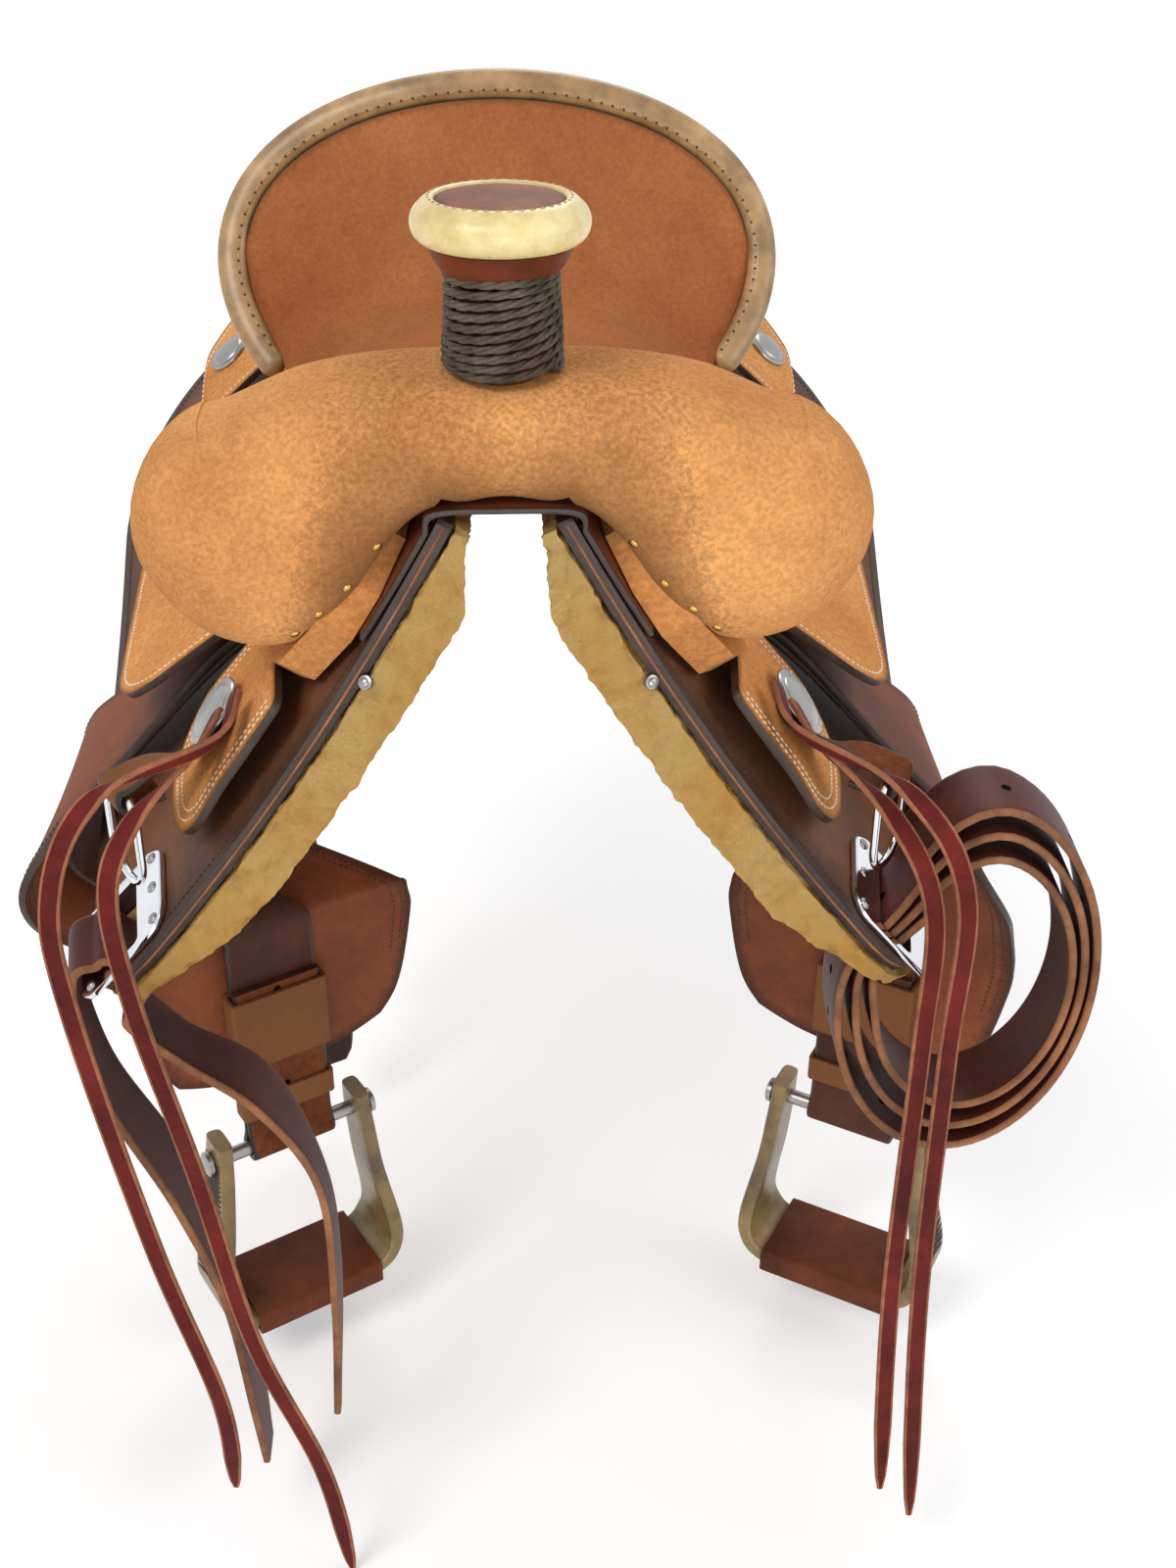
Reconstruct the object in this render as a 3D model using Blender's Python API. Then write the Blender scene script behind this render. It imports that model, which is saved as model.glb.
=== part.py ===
"""A ranch saddle off its horse: wooden tree, leather, sheepskin lining, horn, rigging and stirrups.

Metres. Places are measured from the line through the swell's two widest points: +X to the
near side, +Y to the rear, +Z up. The empty named saddle moves them into the finished frame,
whose origin is on the centre plane, in the channel under the seat, where a rack carries it.
"""

import math

import bmesh
import bpy
from mathutils import Matrix, Vector

# Where the swell's line lies in the finished frame
SWELL_PLACE = Vector((0.0, -0.200, 0.050))

# Clearances
GAP = 0.0003
LAYER_GAP = 0.0006
SWING_GAP = 0.0005
FOLD_GAP = 0.0009

# The horse's back, as the skirts' upper face
RIDGE_HALF = 0.031
RIDGE_TOP = -0.003
RIDGE_DROP = 0.047
RIDGE_DROP_START = -0.020
RIDGE_DROP_END = 0.380
RIDGE_REAR_RISE = 0.012
SLOPE_FRONT = math.radians(54.5)
SLOPE_REAR = math.radians(34.5)
BEND_FRONT = math.radians(-7.0)
BEND_REAR = math.radians(10.0)

# Skirts and sheepskin
SKIRT_FRONT = -0.020
SKIRT_REAR = 0.585
SKIRT_DROP = 0.333
SKIRT_REAR_DROP = 0.300
SKIRT_REAR_TOP = -0.020
SKIRT_LEAN = -0.055
SKIRT_FRONT_CORNER = 0.045
SKIRT_REAR_CORNER = 0.130
SKIRT_THICK = 0.008
FLEECE_THICK = 0.026
FLEECE_MARGIN = 0.003
FLEECE_THIN = 0.35
FADE_HEIGHT = 0.098
FADE_SPAN = 0.075
FADE_REAR = 0.075
FADE_DEPTH = 0.060
FADE_RIDGE = 0.045

# Tree
BAR_SEAT = 0.0048
BAR_THICK = 0.020
BAR_FRONT = -0.016
BAR_REAR = 0.472
BAR_TOP = 0.020
BAR_DROP = 0.128
SWELL_DEPTH = 0.049
SWELL_MIDDLE = 0.020
SWELL_FULL = 2.6
COVER_THICK = 0.003
LINING_THICK = 0.0030
LINING_DEPTH = 0.064
LINING_EDGE = 0.008
LINING_DROP = 0.072
LINING_SQUARE = 5.0

# Horn
HORN_FOOT = Vector((0.0, 0.019, 0.048))
HORN_LEAN = math.radians(13.5)
HORN_CAP_LEAN = math.radians(4.0)
HORN_NECK_RADIUS = 0.0205
HORN_FOOT_FLARE = 0.0035
HORN_NECK_HEIGHT = 0.056
HORN_CAP_RADIUS = 0.040
HORN_CAP_THICK = 0.020
HORN_DISC_RADIUS = 0.0285
HORN_CONE_HEIGHT = 0.015
WRAP_CORD = 0.0042
WRAP_PITCH = 0.0048
WRAP_LEAN = math.radians(9.0)
WRAP_LOOP_POINTS = 24

# Seat and cantle
SEAT_LIFT = 0.036
SEAT_THICK = 0.005
GROUND_THICK = 0.0045
GROUND_SPAN = 0.55
RIM_HALF_WIDTH = 0.171
RIM_HEIGHT = 0.101
RIM_MIDDLE = Vector((0.0, 0.406, -0.017))
RIM_SWEEP = math.radians(125.0)
RIM_LEAN = 0.65
RIM_CURL = 3.4
BINDING_WIDTH = 0.019
BINDING_THICK = 0.013
CANTLE_FOCUS = Vector((0.0, 0.387, -0.008))
CANTLE_BASE_Y = 0.462
CANTLE_SIDE_Y = 0.425
CANTLE_KNEE = 0.22
CANTLE_SPAN = 0.91
CANTLE_CREST = 0.0100
CANTLE_BACK_THICK = 0.004

# Jockeys
JOCKEY_THICK = 0.0045
FRONT_JOCKEY_LIFT = 0.0143
FRONT_JOCKEY_FRONT = -0.005
FRONT_JOCKEY_REAR = 0.088
FRONT_JOCKEY_TOP = 0.1286
FRONT_JOCKEY_DROP = 0.236
SIDE_JOCKEY_FRONT = 0.092
SIDE_JOCKEY_REAR = 0.400
SIDE_JOCKEY_LIFT = 0.0254
SIDE_JOCKEY_FLARE = 0.016
SIDE_JOCKEY_DROP = 0.246
REAR_JOCKEY_FRONT = 0.480
REAR_JOCKEY_REAR = 0.572
REAR_JOCKEY_DROP = 0.228
REAR_JOCKEY_LEAN = -0.20

# Rigging
PLATE_THICK = 0.003
PLATE_FRONT = -0.031
PLATE_REAR = 0.034
PLATE_HEAD = 0.022
PLATE_FOOT = 0.0225
SLOT_RAISE = 0.021
SLOT_HEIGHT = 0.028
SLOT_FRONT = -0.0265
SLOT_REAR = 0.0245
SLOT_DROP = SKIRT_DROP - SLOT_RAISE
SLOT_TOP = SLOT_DROP - SLOT_HEIGHT
SLOT_MARGIN = 0.0030
PLATE_TOP = SLOT_TOP - PLATE_HEAD
PLATE_DROP = SLOT_DROP + PLATE_FOOT
STRAP_WIDTH = 0.045
STRAP_THICK = 0.0045
STRAP_Y = -0.0015

# Latigo coil
COIL_MIDDLE = Vector((0.243, STRAP_Y, -0.287))
COIL_OUTER = (0.075, 0.121)
COIL_INNER = (0.050, 0.075)
COIL_SHIFT = 0.006
COIL_SWEEP = math.radians(1075.0)
COIL_START = math.radians(-25.0)
COIL_STACK = 0.0062
COIL_PINCH = math.radians(62.0)
COIL_LOOP_POINTS = 24

# Conchos, dee straps and dee rings
CONCHO_RADIUS = 0.020
CONCHO_THICK = 0.003
CONCHO_Y = 0.038
CONCHO_DOWN = 0.178
REAR_CONCHO_RADIUS = 0.016
REAR_CONCHO_Y = 0.500
REAR_CONCHO_DOWN = 0.170
DEE_STRAP_THICK = 0.0035
DEE_STRAP_WIDTH = 0.024
DEE_BAR = Vector((0.197, -0.006, -0.157))
DEE_YAW = math.radians(58.0)
DEE_WIDTH = 0.042
DEE_HEIGHT = 0.058
DEE_CORNER = 0.009
DEE_WIRE = 0.005

# Stirrup leathers and fenders
HANG_Y = 0.150
HANG_DOWN = 0.1345
HANG_LIFT = 0.012
HANG_CLEARANCE = 0.0009
HANG_WIDTH = 0.040
LEATHER_WIDTH = 0.060
LEATHER_THICK = 0.0045
STRAND_GAP = 0.0008
FENDER_THICK = 0.0045
FENDER_FOOT = 0.050
FENDER_FRONT = 0.090
FENDER_REAR = 0.105
LEATHER_YAW = math.radians(30.0)
STRAIGHT_TOP = -0.380
BOLT_Z = -0.536
BOLT_RADIUS = 0.005
NEAR_BOLT_X = 0.232
OFF_BOLT_X = -0.152
BOLT_X = {1: NEAR_BOLT_X, -1: OFF_BOLT_X}
BOLT_Y = 0.152
SLEEVE_TOP = -0.410
SLEEVE_HEIGHT = 0.055
SLEEVE_WALL = 0.003
HOBBLE_TOP = -0.490
HOBBLE_HEIGHT = 0.018
HOBBLE_WALL = 0.0025

# Stirrups
BOW_HEIGHT = 0.134
BOW_TOP_HALF = 0.050
BOW_FOOT_HALF = 0.064
BOW_THICK = 0.011
BOW_TOP_DEPTH = 0.030
BOW_FOOT_DEPTH = 0.056
TREAD_WALL = 0.0035
TREAD_SPAN = 0.094

# Rear billets
REAR_BILLET_Y = 0.360
REAR_BILLET_DOWN = 0.262

# Saddle strings
STRING_WIDTH = 0.011
STRING_THICK = 0.003


def smooth(t):
    t = min(max(t, 0.0), 1.0)
    return t * t * (3.0 - 2.0 * t)


def mix(a, b, t):
    return a + (b - a) * t


def curve_at(points, t):
    """The point at t, from 0 to 1, on a smooth curve through the points."""
    last = len(points) - 1
    place = min(max(t, 0.0), 1.0) * last
    i = min(int(place), last - 1)
    f = place - i
    a = points[i]
    b = points[i + 1]
    before = points[i - 1] if i > 0 else a * 2.0 - b
    after = points[i + 2] if i + 2 <= last else b * 2.0 - a
    return (
        a * 2.0
        + (b - before) * f
        + (before * 2.0 - a * 5.0 + b * 4.0 - after) * f ** 2
        + (a * 3.0 - before - b * 3.0 + after) * f ** 3
    ) * 0.5


def finish(name, colour, roughness, metallic=0.0):
    """A plain surface with the colour that the piece has."""
    made = bpy.data.materials.new(name)
    made.use_nodes = True
    shader = made.node_tree.nodes["Principled BSDF"]
    shader.inputs["Base Color"].default_value = (*colour, 1.0)
    shader.inputs["Roughness"].default_value = roughness
    shader.inputs["Metallic"].default_value = metallic
    return made


def add(name, form, material, parent, sharp=35.0):
    """The finished piece: closed, facing out, smooth but for its edges."""
    bmesh.ops.remove_doubles(form, verts=form.verts, dist=1e-6)
    bmesh.ops.recalc_face_normals(form, faces=form.faces)
    mesh = bpy.data.meshes.new(name)
    form.to_mesh(mesh)
    form.free()
    mesh.materials.append(material)
    mesh.shade_smooth()
    mesh.set_sharp_from_angle(angle=math.radians(sharp))
    piece = bpy.data.objects.new(name, mesh)
    bpy.context.scene.collection.objects.link(piece)
    piece.parent = parent
    return piece


def stand_at(name, root, place):
    """The empty on a moving piece's axis."""
    made = bpy.data.objects.new(name, None)
    bpy.context.scene.collection.objects.link(made)
    made.parent = root
    made.location = place
    return made


def add_at(name, form, material, stand, sharp=35.0):
    """The finished piece, told in the saddle's frame and carried by its stand."""
    for vert in form.verts:
        vert.co = vert.co - stand.location
    return add(name, form, material, stand, sharp)


def cutter(name, form, parent):
    """A guide that only cuts other pieces."""
    piece = add(name, form, finish(name, (0.5, 0.5, 0.5), 0.5), parent)
    piece.hide_render = True
    piece.display_type = "WIRE"
    return piece


def cut(piece, tool, operation="DIFFERENCE"):
    made = piece.modifiers.new(tool.name, "BOOLEAN")
    made.operation = operation
    made.solver = "EXACT"
    made.object = tool


def sheet(spot, rows, columns):
    """A closed sheet: a grid laid by spot(s, t, face), with face 0 inside and 1 outside."""
    form = bmesh.new()
    bmesh.ops.create_grid(form, x_segments=rows, y_segments=columns, size=0.5)
    made = bmesh.ops.extrude_face_region(form, geom=form.faces[:])
    outer = {item for item in made["geom"] if isinstance(item, bmesh.types.BMVert)}
    for vert in form.verts:
        vert.co = spot(vert.co.x + 0.5, vert.co.y + 0.5, 1 if vert in outer else 0)
    bmesh.ops.triangulate(form, faces=form.faces, quad_method="SHORT_EDGE")
    return form


def tube(spot, along, around):
    """A closed tube: spot(s, t) runs along s and once around t, and its two ends are filled."""
    form = bmesh.new()
    bmesh.ops.create_grid(form, x_segments=along, y_segments=around, size=0.5)
    for vert in form.verts:
        vert.co = spot(vert.co.x + 0.5, (vert.co.y + 0.5) % 1.0)
    bmesh.ops.remove_doubles(form, verts=form.verts, dist=1e-6)
    bmesh.ops.holes_fill(form, edges=[edge for edge in form.edges if edge.is_boundary])
    return form


def loop(spot, around, section):
    """A closed ring: spot(s, t) runs once around both ways."""
    form = bmesh.new()
    bmesh.ops.create_grid(form, x_segments=around, y_segments=section, size=0.5)
    for vert in form.verts:
        vert.co = spot((vert.co.x + 0.5) % 1.0, (vert.co.y + 0.5) % 1.0)
    return form


def band(middle, wide, deep, along, half_wide, half_deep, wall, length):
    """A leather band around a strap: a rectangular ring with chamfered corners."""

    def corner(index, half_a, half_b, chamfer):
        signs = ((1, 1), (1, 1), (-1, 1), (-1, 1), (-1, -1), (-1, -1), (1, -1), (1, -1))
        order = (0, 1, 1, 0, 0, 1, 1, 0)[index]
        a = half_a - chamfer * order
        b = half_b - chamfer * (1 - order)
        return a * signs[index][0], b * signs[index][1]

    def spot(s, t):
        outer = round(t * 4) % 4 in (1, 2)
        end = 0.5 if round(t * 4) % 4 in (2, 3) else -0.5
        grow = wall if outer else 0.0
        a, b = corner(
            round(s * 8) % 8,
            half_wide + grow,
            half_deep + grow,
            wall if outer else wall * 0.2,
        )
        return middle + wide * a + deep * b + along * (length * end)

    return loop(spot, 8, 4)


def ribbon(points, across, widths, thick, along, square=True):
    """A strap: its middle follows the points, its width lies along the across directions.
    A strap that twists as it hangs isn't square: its width keeps level."""

    def spot(s, t):
        here = curve_at(points, s)
        ahead = curve_at(points, s + 0.25 / along) - curve_at(points, s - 0.25 / along)
        side = curve_at(across, s)
        if square:
            side = side - ahead * (side.dot(ahead) / ahead.length_squared)
        side = side.normalized()
        up = side.cross(ahead).normalized()
        wide = curve_at(widths, s) * 0.5
        corner = ((1, 1), (-1, 1), (-1, -1), (1, -1))[round(t * 4) % 4]
        return here + side * (wide * corner[0]) + up * (thick * 0.5 * corner[1])

    form = tube(spot, along, 4)
    bmesh.ops.triangulate(form, faces=form.faces, quad_method="SHORT_EDGE")
    return form


def turned(profile, steps):
    """A round piece: the profile's (radius, height) points spun about Z."""
    form = bmesh.new()
    verts = [form.verts.new((radius, 0.0, height)) for radius, height in profile]
    edges = [form.edges.new(pair) for pair in zip(verts, verts[1:])]
    bmesh.ops.spin(
        form,
        geom=verts + edges,
        cent=(0, 0, 0),
        axis=(0, 0, 1),
        angle=math.tau,
        steps=steps,
        use_merge=True,
    )
    return form


def wire(name, points, radius, material, parent, cyclic=False, resolution=1):
    """A round cord or rod through the points."""
    curve = bpy.data.curves.new(name, "CURVE")
    curve.dimensions = "3D"
    curve.bevel_depth = radius
    curve.bevel_resolution = resolution
    curve.use_fill_caps = not cyclic
    line = curve.splines.new("POLY")
    line.points.add(len(points) - 1)
    for spot, point in zip(line.points, points):
        spot.co = (*point, 1.0)
    line.use_cyclic_u = cyclic
    curve.materials.append(material)
    piece = bpy.data.objects.new(name, curve)
    bpy.context.scene.collection.objects.link(piece)
    piece.parent = parent
    return piece


# The horse's back: every layer of leather is laid on it


def ridge_height(y):
    drop = smooth((y - RIDGE_DROP_START) / (RIDGE_DROP_END - RIDGE_DROP_START))
    rise = smooth((y - RIDGE_DROP_END) / (SKIRT_REAR - RIDGE_DROP_END))
    return RIDGE_TOP - RIDGE_DROP * drop + RIDGE_REAR_RISE * rise


def back_line(y, down):
    rear = (y - SKIRT_FRONT) / (SKIRT_REAR - SKIRT_FRONT)
    angle = mix(SLOPE_FRONT, SLOPE_REAR, rear)
    angle += mix(BEND_FRONT, BEND_REAR, rear) * (down / SKIRT_DROP - 1.0)
    x = RIDGE_HALF + down * math.cos(angle)
    return Vector((x, y, ridge_height(y) - down * math.sin(angle)))


def back_normal(y, down):
    step = 0.002
    along = back_line(y + step, down) - back_line(y - step, down)
    across = back_line(y, down + step) - back_line(y, down - step)
    return across.cross(along).normalized()


def back(side, y, down, lift=0.0):
    """A point on the back, this far down from the ridge and lifted off along its normal."""
    here = back_line(y, down) + back_normal(y, down) * lift
    return Vector((here.x * side, here.y, here.z))


def back_run(side, y, down):
    """The direction towards the rear along the back here."""
    run = (back_line(y + 0.01, down) - back_line(y - 0.01, down)).normalized()
    return Vector((run.x * side, run.y, run.z))


def panel(front, rear, top, bottom, corners, leans=(0.0, 0.0)):
    """A leather outline on the back: spot(s, t) gives (y, down). Corners: front top, front
    bottom, rear top and rear bottom. Leans shift the front and rear edges as they go down."""

    def rounding(distance, radius):
        if distance >= radius:
            return 0.0
        return radius - math.sqrt(max(radius ** 2 - (radius - distance) ** 2, 0.0))

    def spot(s, t):
        eased = mix(s, 0.5 - 0.5 * math.cos(math.pi * s), 0.6)
        y = mix(front, rear, eased)
        high = top(y) if callable(top) else mix(top[0], top[1], eased)
        high += rounding(y - front, corners[0]) + rounding(rear - y, corners[2])
        low = mix(bottom[0], bottom[1], eased)
        low -= rounding(y - front, corners[1]) + rounding(rear - y, corners[3])
        down = mix(high, low, t)
        return y + mix(leans[0], leans[1], eased) * down, down

    return spot


def laid(side, outline, lift, thick):
    """A place for sheet(): the outline laid on the back, with lift and thickness there."""

    def spot(s, t, face):
        y, down = outline(s, t)
        low = lift(y, down) if callable(lift) else lift
        return back(side, y, down, low + thick * face)

    return spot


SIDES = {1: "near", -1: "off"}


# Skirts, sheepskin and rigging plates


def skirt_top(y):
    return SKIRT_REAR_TOP * smooth((y - 0.42) / 0.13)


def skirt_outline(margin):
    return panel(
        SKIRT_FRONT - margin,
        SKIRT_REAR + margin,
        skirt_top,
        (SKIRT_DROP + margin, SKIRT_REAR_DROP + margin),
        (0.002, SKIRT_FRONT_CORNER, 0.030, SKIRT_REAR_CORNER),
        (SKIRT_LEAN, 0.0),
    )


def fleece_under(y, down):
    """How far the sheepskin's lower face lies below the skirt's upper one."""
    corner = smooth((down - SKIRT_DROP + FADE_HEIGHT) / FADE_SPAN)
    corner *= smooth((FADE_REAR - y) / FADE_DEPTH)
    ridge = 1.0 - smooth((down - skirt_top(y)) / FADE_RIDGE)
    deep = FLEECE_THICK * mix(1.0, FLEECE_THIN, max(corner, ridge))
    return -SKIRT_THICK - LAYER_GAP - deep


def slot_cutter(name, side, margin, parent):
    """The rigging slot's tool, through the plate, the skirt and the sheepskin."""
    outline = panel(
        SLOT_FRONT - margin,
        SLOT_REAR + margin,
        (SLOT_TOP - margin, SLOT_TOP - margin),
        (SLOT_DROP + margin, SLOT_DROP + margin),
        (0.003, 0.003, 0.003, 0.003),
    )
    deep = SKIRT_THICK + FLEECE_THICK + 0.030
    return cutter(name, sheet(laid(side, outline, -deep, deep + 0.030), 8, 2), parent)


def make_skirts(root, leather, wool, chrome):
    for side, word in SIDES.items():
        slot = slot_cutter(f"slot_tool_{word}", side, 0.0, root)
        wide_slot = slot_cutter(f"wide_slot_tool_{word}", side, SLOT_MARGIN, root)
        place = laid(side, skirt_outline(0.0), -SKIRT_THICK, SKIRT_THICK)
        skirt = add(f"skirt_{word}", sheet(place, 14, 6), leather, root)
        cut(skirt, wide_slot)

        lining_outline = skirt_outline(FLEECE_MARGIN)

        def fleece_place(s, t, face):
            y, down = lining_outline(s, t)
            top = -SKIRT_THICK - LAYER_GAP
            return back(side, y, down, top if face else fleece_under(y, down))

        fleece = add(f"sheepskin_{word}", sheet(fleece_place, 14, 7), wool, root, 60.0)
        cut(fleece, wide_slot)

        outline = panel(
            PLATE_FRONT,
            PLATE_REAR,
            (PLATE_TOP, PLATE_TOP),
            (PLATE_DROP, PLATE_DROP),
            (0.014, 0.010, 0.014, 0.010),
        )
        place = laid(side, outline, LAYER_GAP + GAP, PLATE_THICK)
        plate = add(f"rigging_plate_{word}", sheet(place, 8, 3), chrome, root)
        cut(plate, slot)


# Tree


def swell_path(t):
    """The swell's middle line from the off lobe to the near lobe, as x, z and radius."""
    half = (
        Vector((0.0, 0.029, 0.028)),
        Vector((0.043, 0.025, 0.033)),
        Vector((0.076, 0.011, 0.045)),
        Vector((0.105, -0.012, 0.057)),
        Vector((0.118, -0.020, 0.060)),
    )
    side = 1.0 if t >= 0 else -1.0
    if abs(t) < 0.125:
        points = (Vector((-0.043, 0.025, 0.033)), half[0], half[1])
        here = curve_at(points, 0.5 + 0.5 * abs(t) * 4.0)
    else:
        here = curve_at(half, abs(t))
    return Vector((here.x * side, here.y, here.z))


def swell_form(shrink, body, cap, around):
    """The swell: rings along its middle line, closed by a round end at each lobe."""

    def spot(s, t):
        place = s * (body + 2 * cap) - cap
        inside = min(max(place / body, 0.0), 1.0) * 2.0 - 1.0
        here = swell_path(inside)
        ahead = swell_path(inside + 0.01) - swell_path(inside - 0.01)
        if abs(inside) == 1.0:
            ahead = Vector((0.85, -0.52 * inside, 0.0))
        run = Vector((ahead.x, ahead.y)).normalized()
        up = Vector((-run.y, run.x))
        beyond = max(-place, place - body, 0.0) / cap * math.pi / 2.0
        radius = here.z - shrink
        reach = radius * math.sin(beyond) * (1.0 if inside > 0 else -1.0)
        turn = math.tau * t
        full = 2.0 / SWELL_FULL
        high = math.copysign(abs(math.sin(turn)) ** full, math.sin(turn)) * math.cos(beyond)
        deep = math.copysign(abs(math.cos(turn)) ** full, math.cos(turn)) * math.cos(beyond)
        x = here.x + up.x * radius * high + run.x * reach
        z = here.y + up.y * radius * high + run.y * reach
        return Vector((x, SWELL_MIDDLE + (SWELL_DEPTH - shrink) * deep, z))

    return tube(spot, body + 2 * cap, around)


def bar_outline(margin):
    return panel(
        BAR_FRONT - margin,
        BAR_REAR + margin,
        (BAR_TOP - margin, BAR_TOP - margin),
        (BAR_DROP + margin, BAR_DROP + margin),
        (0.030, 0.050, 0.040, 0.060),
    )


def lining_point(reach, y, lift):
    """A point on the gullet's arch: reach runs from the off end at -1 to the near end at 1."""
    side = 1.0 if reach >= 0 else -1.0
    flat = 0.5
    if abs(reach) > flat:
        down = mix(LINING_EDGE, LINING_DROP, (abs(reach) - flat) / (1.0 - flat))
        return back(side, y, down, lift)
    edge = back(1, y, LINING_EDGE, lift)
    crown = ridge_height(y) + 0.002 + lift
    angle = abs(reach) / flat * math.pi / 2
    x = edge.x * math.sin(angle) ** (2.0 / LINING_SQUARE)
    z = crown - (crown - edge.z) * (1.0 - math.cos(angle) ** (2.0 / LINING_SQUARE))
    return Vector((x * side, y, z))


def make_tree(root, wood, roughout, lining_leather):
    fork = add("tree_fork", swell_form(COVER_THICK + 2 * GAP, 14, 3, 14), wood, root)
    cover = add("swell_cover", swell_form(0.0, 14, 3, 16), roughout, root)
    core_tool = cutter("fork_core_tool", swell_form(COVER_THICK, 14, 3, 14), root)
    cut(cover, core_tool)
    under_low = BAR_SEAT - LAYER_GAP
    under_high = BAR_SEAT + BAR_THICK + 2 * LAYER_GAP
    step = BAR_FRONT - LAYER_GAP
    steps = (-0.110, -0.040, step - 0.0002, step, 0.012, 0.040, 0.075, 0.140)
    for side, word in SIDES.items():

        def under_place(s, t, face):
            place = round(s * (len(steps) - 1))
            y = steps[place]
            down = mix(-0.012, 0.270, t)
            top = under_low if place < 3 else under_high
            return back(side, y, down, top if face else -0.070)

        under = cutter(f"under_swell_tool_{word}", sheet(under_place, len(steps) - 1, 9), root)
        cut(fork, under)
        cut(cover, under)
        place = laid(side, bar_outline(0.0), BAR_SEAT, BAR_THICK)
        add(f"tree_bar_{word}", sheet(place, 16, 4), wood, root)

    def channel_place(s, t, face):
        point = lining_point((2.0 * s - 1.0) * 0.6, mix(-0.10, 0.14, t), LINING_THICK + 0.0016)
        return point if face else point - Vector((0.0, 0.0, 0.080))

    channel = cutter("channel_tool", sheet(channel_place, 12, 5), root)
    cut(fork, channel)
    cut(cover, channel)

    def lining_place(s, t, face):
        y = SKIRT_FRONT - 0.002 + LINING_DEPTH * t
        return lining_point(2.0 * s - 1.0, y, 0.0010 + LINING_THICK * face)

    add("gullet_lining", sheet(lining_place, 16, 4), lining_leather, root)


# Horn


def make_horn(root, cap_leather, rawhide, cord):
    lean = bpy.data.objects.new("horn_stand", None)
    bpy.context.scene.collection.objects.link(lean)
    lean.parent = root
    lean.location = HORN_FOOT
    lean.rotation_euler = (HORN_LEAN, 0.0, 0.0)
    tilt = bpy.data.objects.new("horn_top_stand", None)
    bpy.context.scene.collection.objects.link(tilt)
    tilt.parent = lean
    tilt.location = (0.0, 0.0, HORN_NECK_HEIGHT)
    tilt.rotation_euler = (-HORN_LEAN - HORN_CAP_LEAN, 0.0, 0.0)

    flange = HORN_CAP_THICK * 0.5
    sink = 0.003
    hole = HORN_NECK_RADIUS + GAP
    socket = turned(
        [(0.0, sink - GAP), (hole, sink - GAP), (hole, 0.1), (0.0, 0.1)],
        24,
    )
    socket = cutter("horn_socket_tool", socket, lean)
    cut(bpy.data.objects["tree_fork"], socket)
    cut(bpy.data.objects["swell_cover"], socket)
    profile = [
        (0.0, sink),
        (HORN_NECK_RADIUS, sink),
        (HORN_NECK_RADIUS, HORN_NECK_HEIGHT + 0.004),
        (0.0, HORN_NECK_HEIGHT + 0.004),
    ]
    neck_form = turned(profile, 20)

    cone = HORN_CONE_HEIGHT
    profile = [
        (0.0, GAP),
        (HORN_NECK_RADIUS + 0.0025, GAP),
        (HORN_NECK_RADIUS + 0.008, cone * 0.55),
        (HORN_CAP_RADIUS - 0.007, cone),
        (0.0, cone),
    ]
    flare = cutter("horn_flare", turned(profile, 24), tilt)
    neck = add("horn_neck", neck_form, cap_leather, lean)
    cut(neck, flare, "UNION")

    low = cone + GAP
    disc = HORN_DISC_RADIUS
    outer = HORN_CAP_RADIUS
    profile = [(disc + GAP, low)]
    for step in range(7):
        turn = math.radians(-75.0 + 165.0 * step / 6)
        radius = outer - flange + flange * math.cos(turn)
        profile.append((radius, low + flange + flange * math.sin(turn)))
    profile.append((disc + GAP, low + HORN_CAP_THICK * 0.93))
    profile.append((disc + GAP, low))
    add("horn_rim", turned(profile, 26), rawhide, tilt)

    profile = [
        (0.0, low),
        (disc, low),
        (disc, low + HORN_CAP_THICK * 0.86),
        (disc - 0.003, low + HORN_CAP_THICK * 0.92),
        (disc * 0.5, low + HORN_CAP_THICK * 0.95),
        (0.0, low + HORN_CAP_THICK * 0.96),
    ]
    add("horn_cap", turned(profile, 28), cap_leather, tilt)

    start = 0.0102 + WRAP_CORD / 2
    height = HORN_NECK_HEIGHT - 0.0064 - start
    turns = int(height / WRAP_PITCH)
    count = turns * WRAP_LOOP_POINTS
    points = []
    for i in range(count + 1):
        angle = math.tau * i / WRAP_LOOP_POINTS
        rise = WRAP_PITCH * i / WRAP_LOOP_POINTS
        flare = HORN_FOOT_FLARE * (1.0 - smooth(rise / height)) + 0.0015 * smooth(rise / height)
        radius = HORN_NECK_RADIUS + GAP + WRAP_CORD / 2 + flare
        across = radius * math.sin(angle)
        rise += start - math.tan(WRAP_LEAN) * across
        points.append(Vector((radius * math.cos(angle), across, rise)))
    first = points[0] - (points[1] - points[0]).normalized() * WRAP_CORD
    points.insert(0, first)
    points.append(points[-1] + (points[-1] - points[-2]).normalized() * WRAP_CORD)
    wire("horn_wrap", points, WRAP_CORD / 2, cord, lean)
    nearest = min(
        (a - b).length
        for i, a in enumerate(points)
        for b in points[i + WRAP_LOOP_POINTS // 2 :]
    )
    print(f"horn wrap: {turns} turns, least gap {1000 * (nearest - WRAP_CORD):.2f} mm")


# Seat and cantle


def rim_at(u):
    """The cantle's rim, from its off end at -1 over the top to its near end at 1."""
    angle = math.pi / 2 - u * RIM_SWEEP
    rise = RIM_HEIGHT * math.sin(angle)
    x = RIM_HALF_WIDTH * math.cos(angle)
    return RIM_MIDDLE + Vector((x, RIM_LEAN * rise - RIM_CURL * rise * rise, rise))


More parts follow.
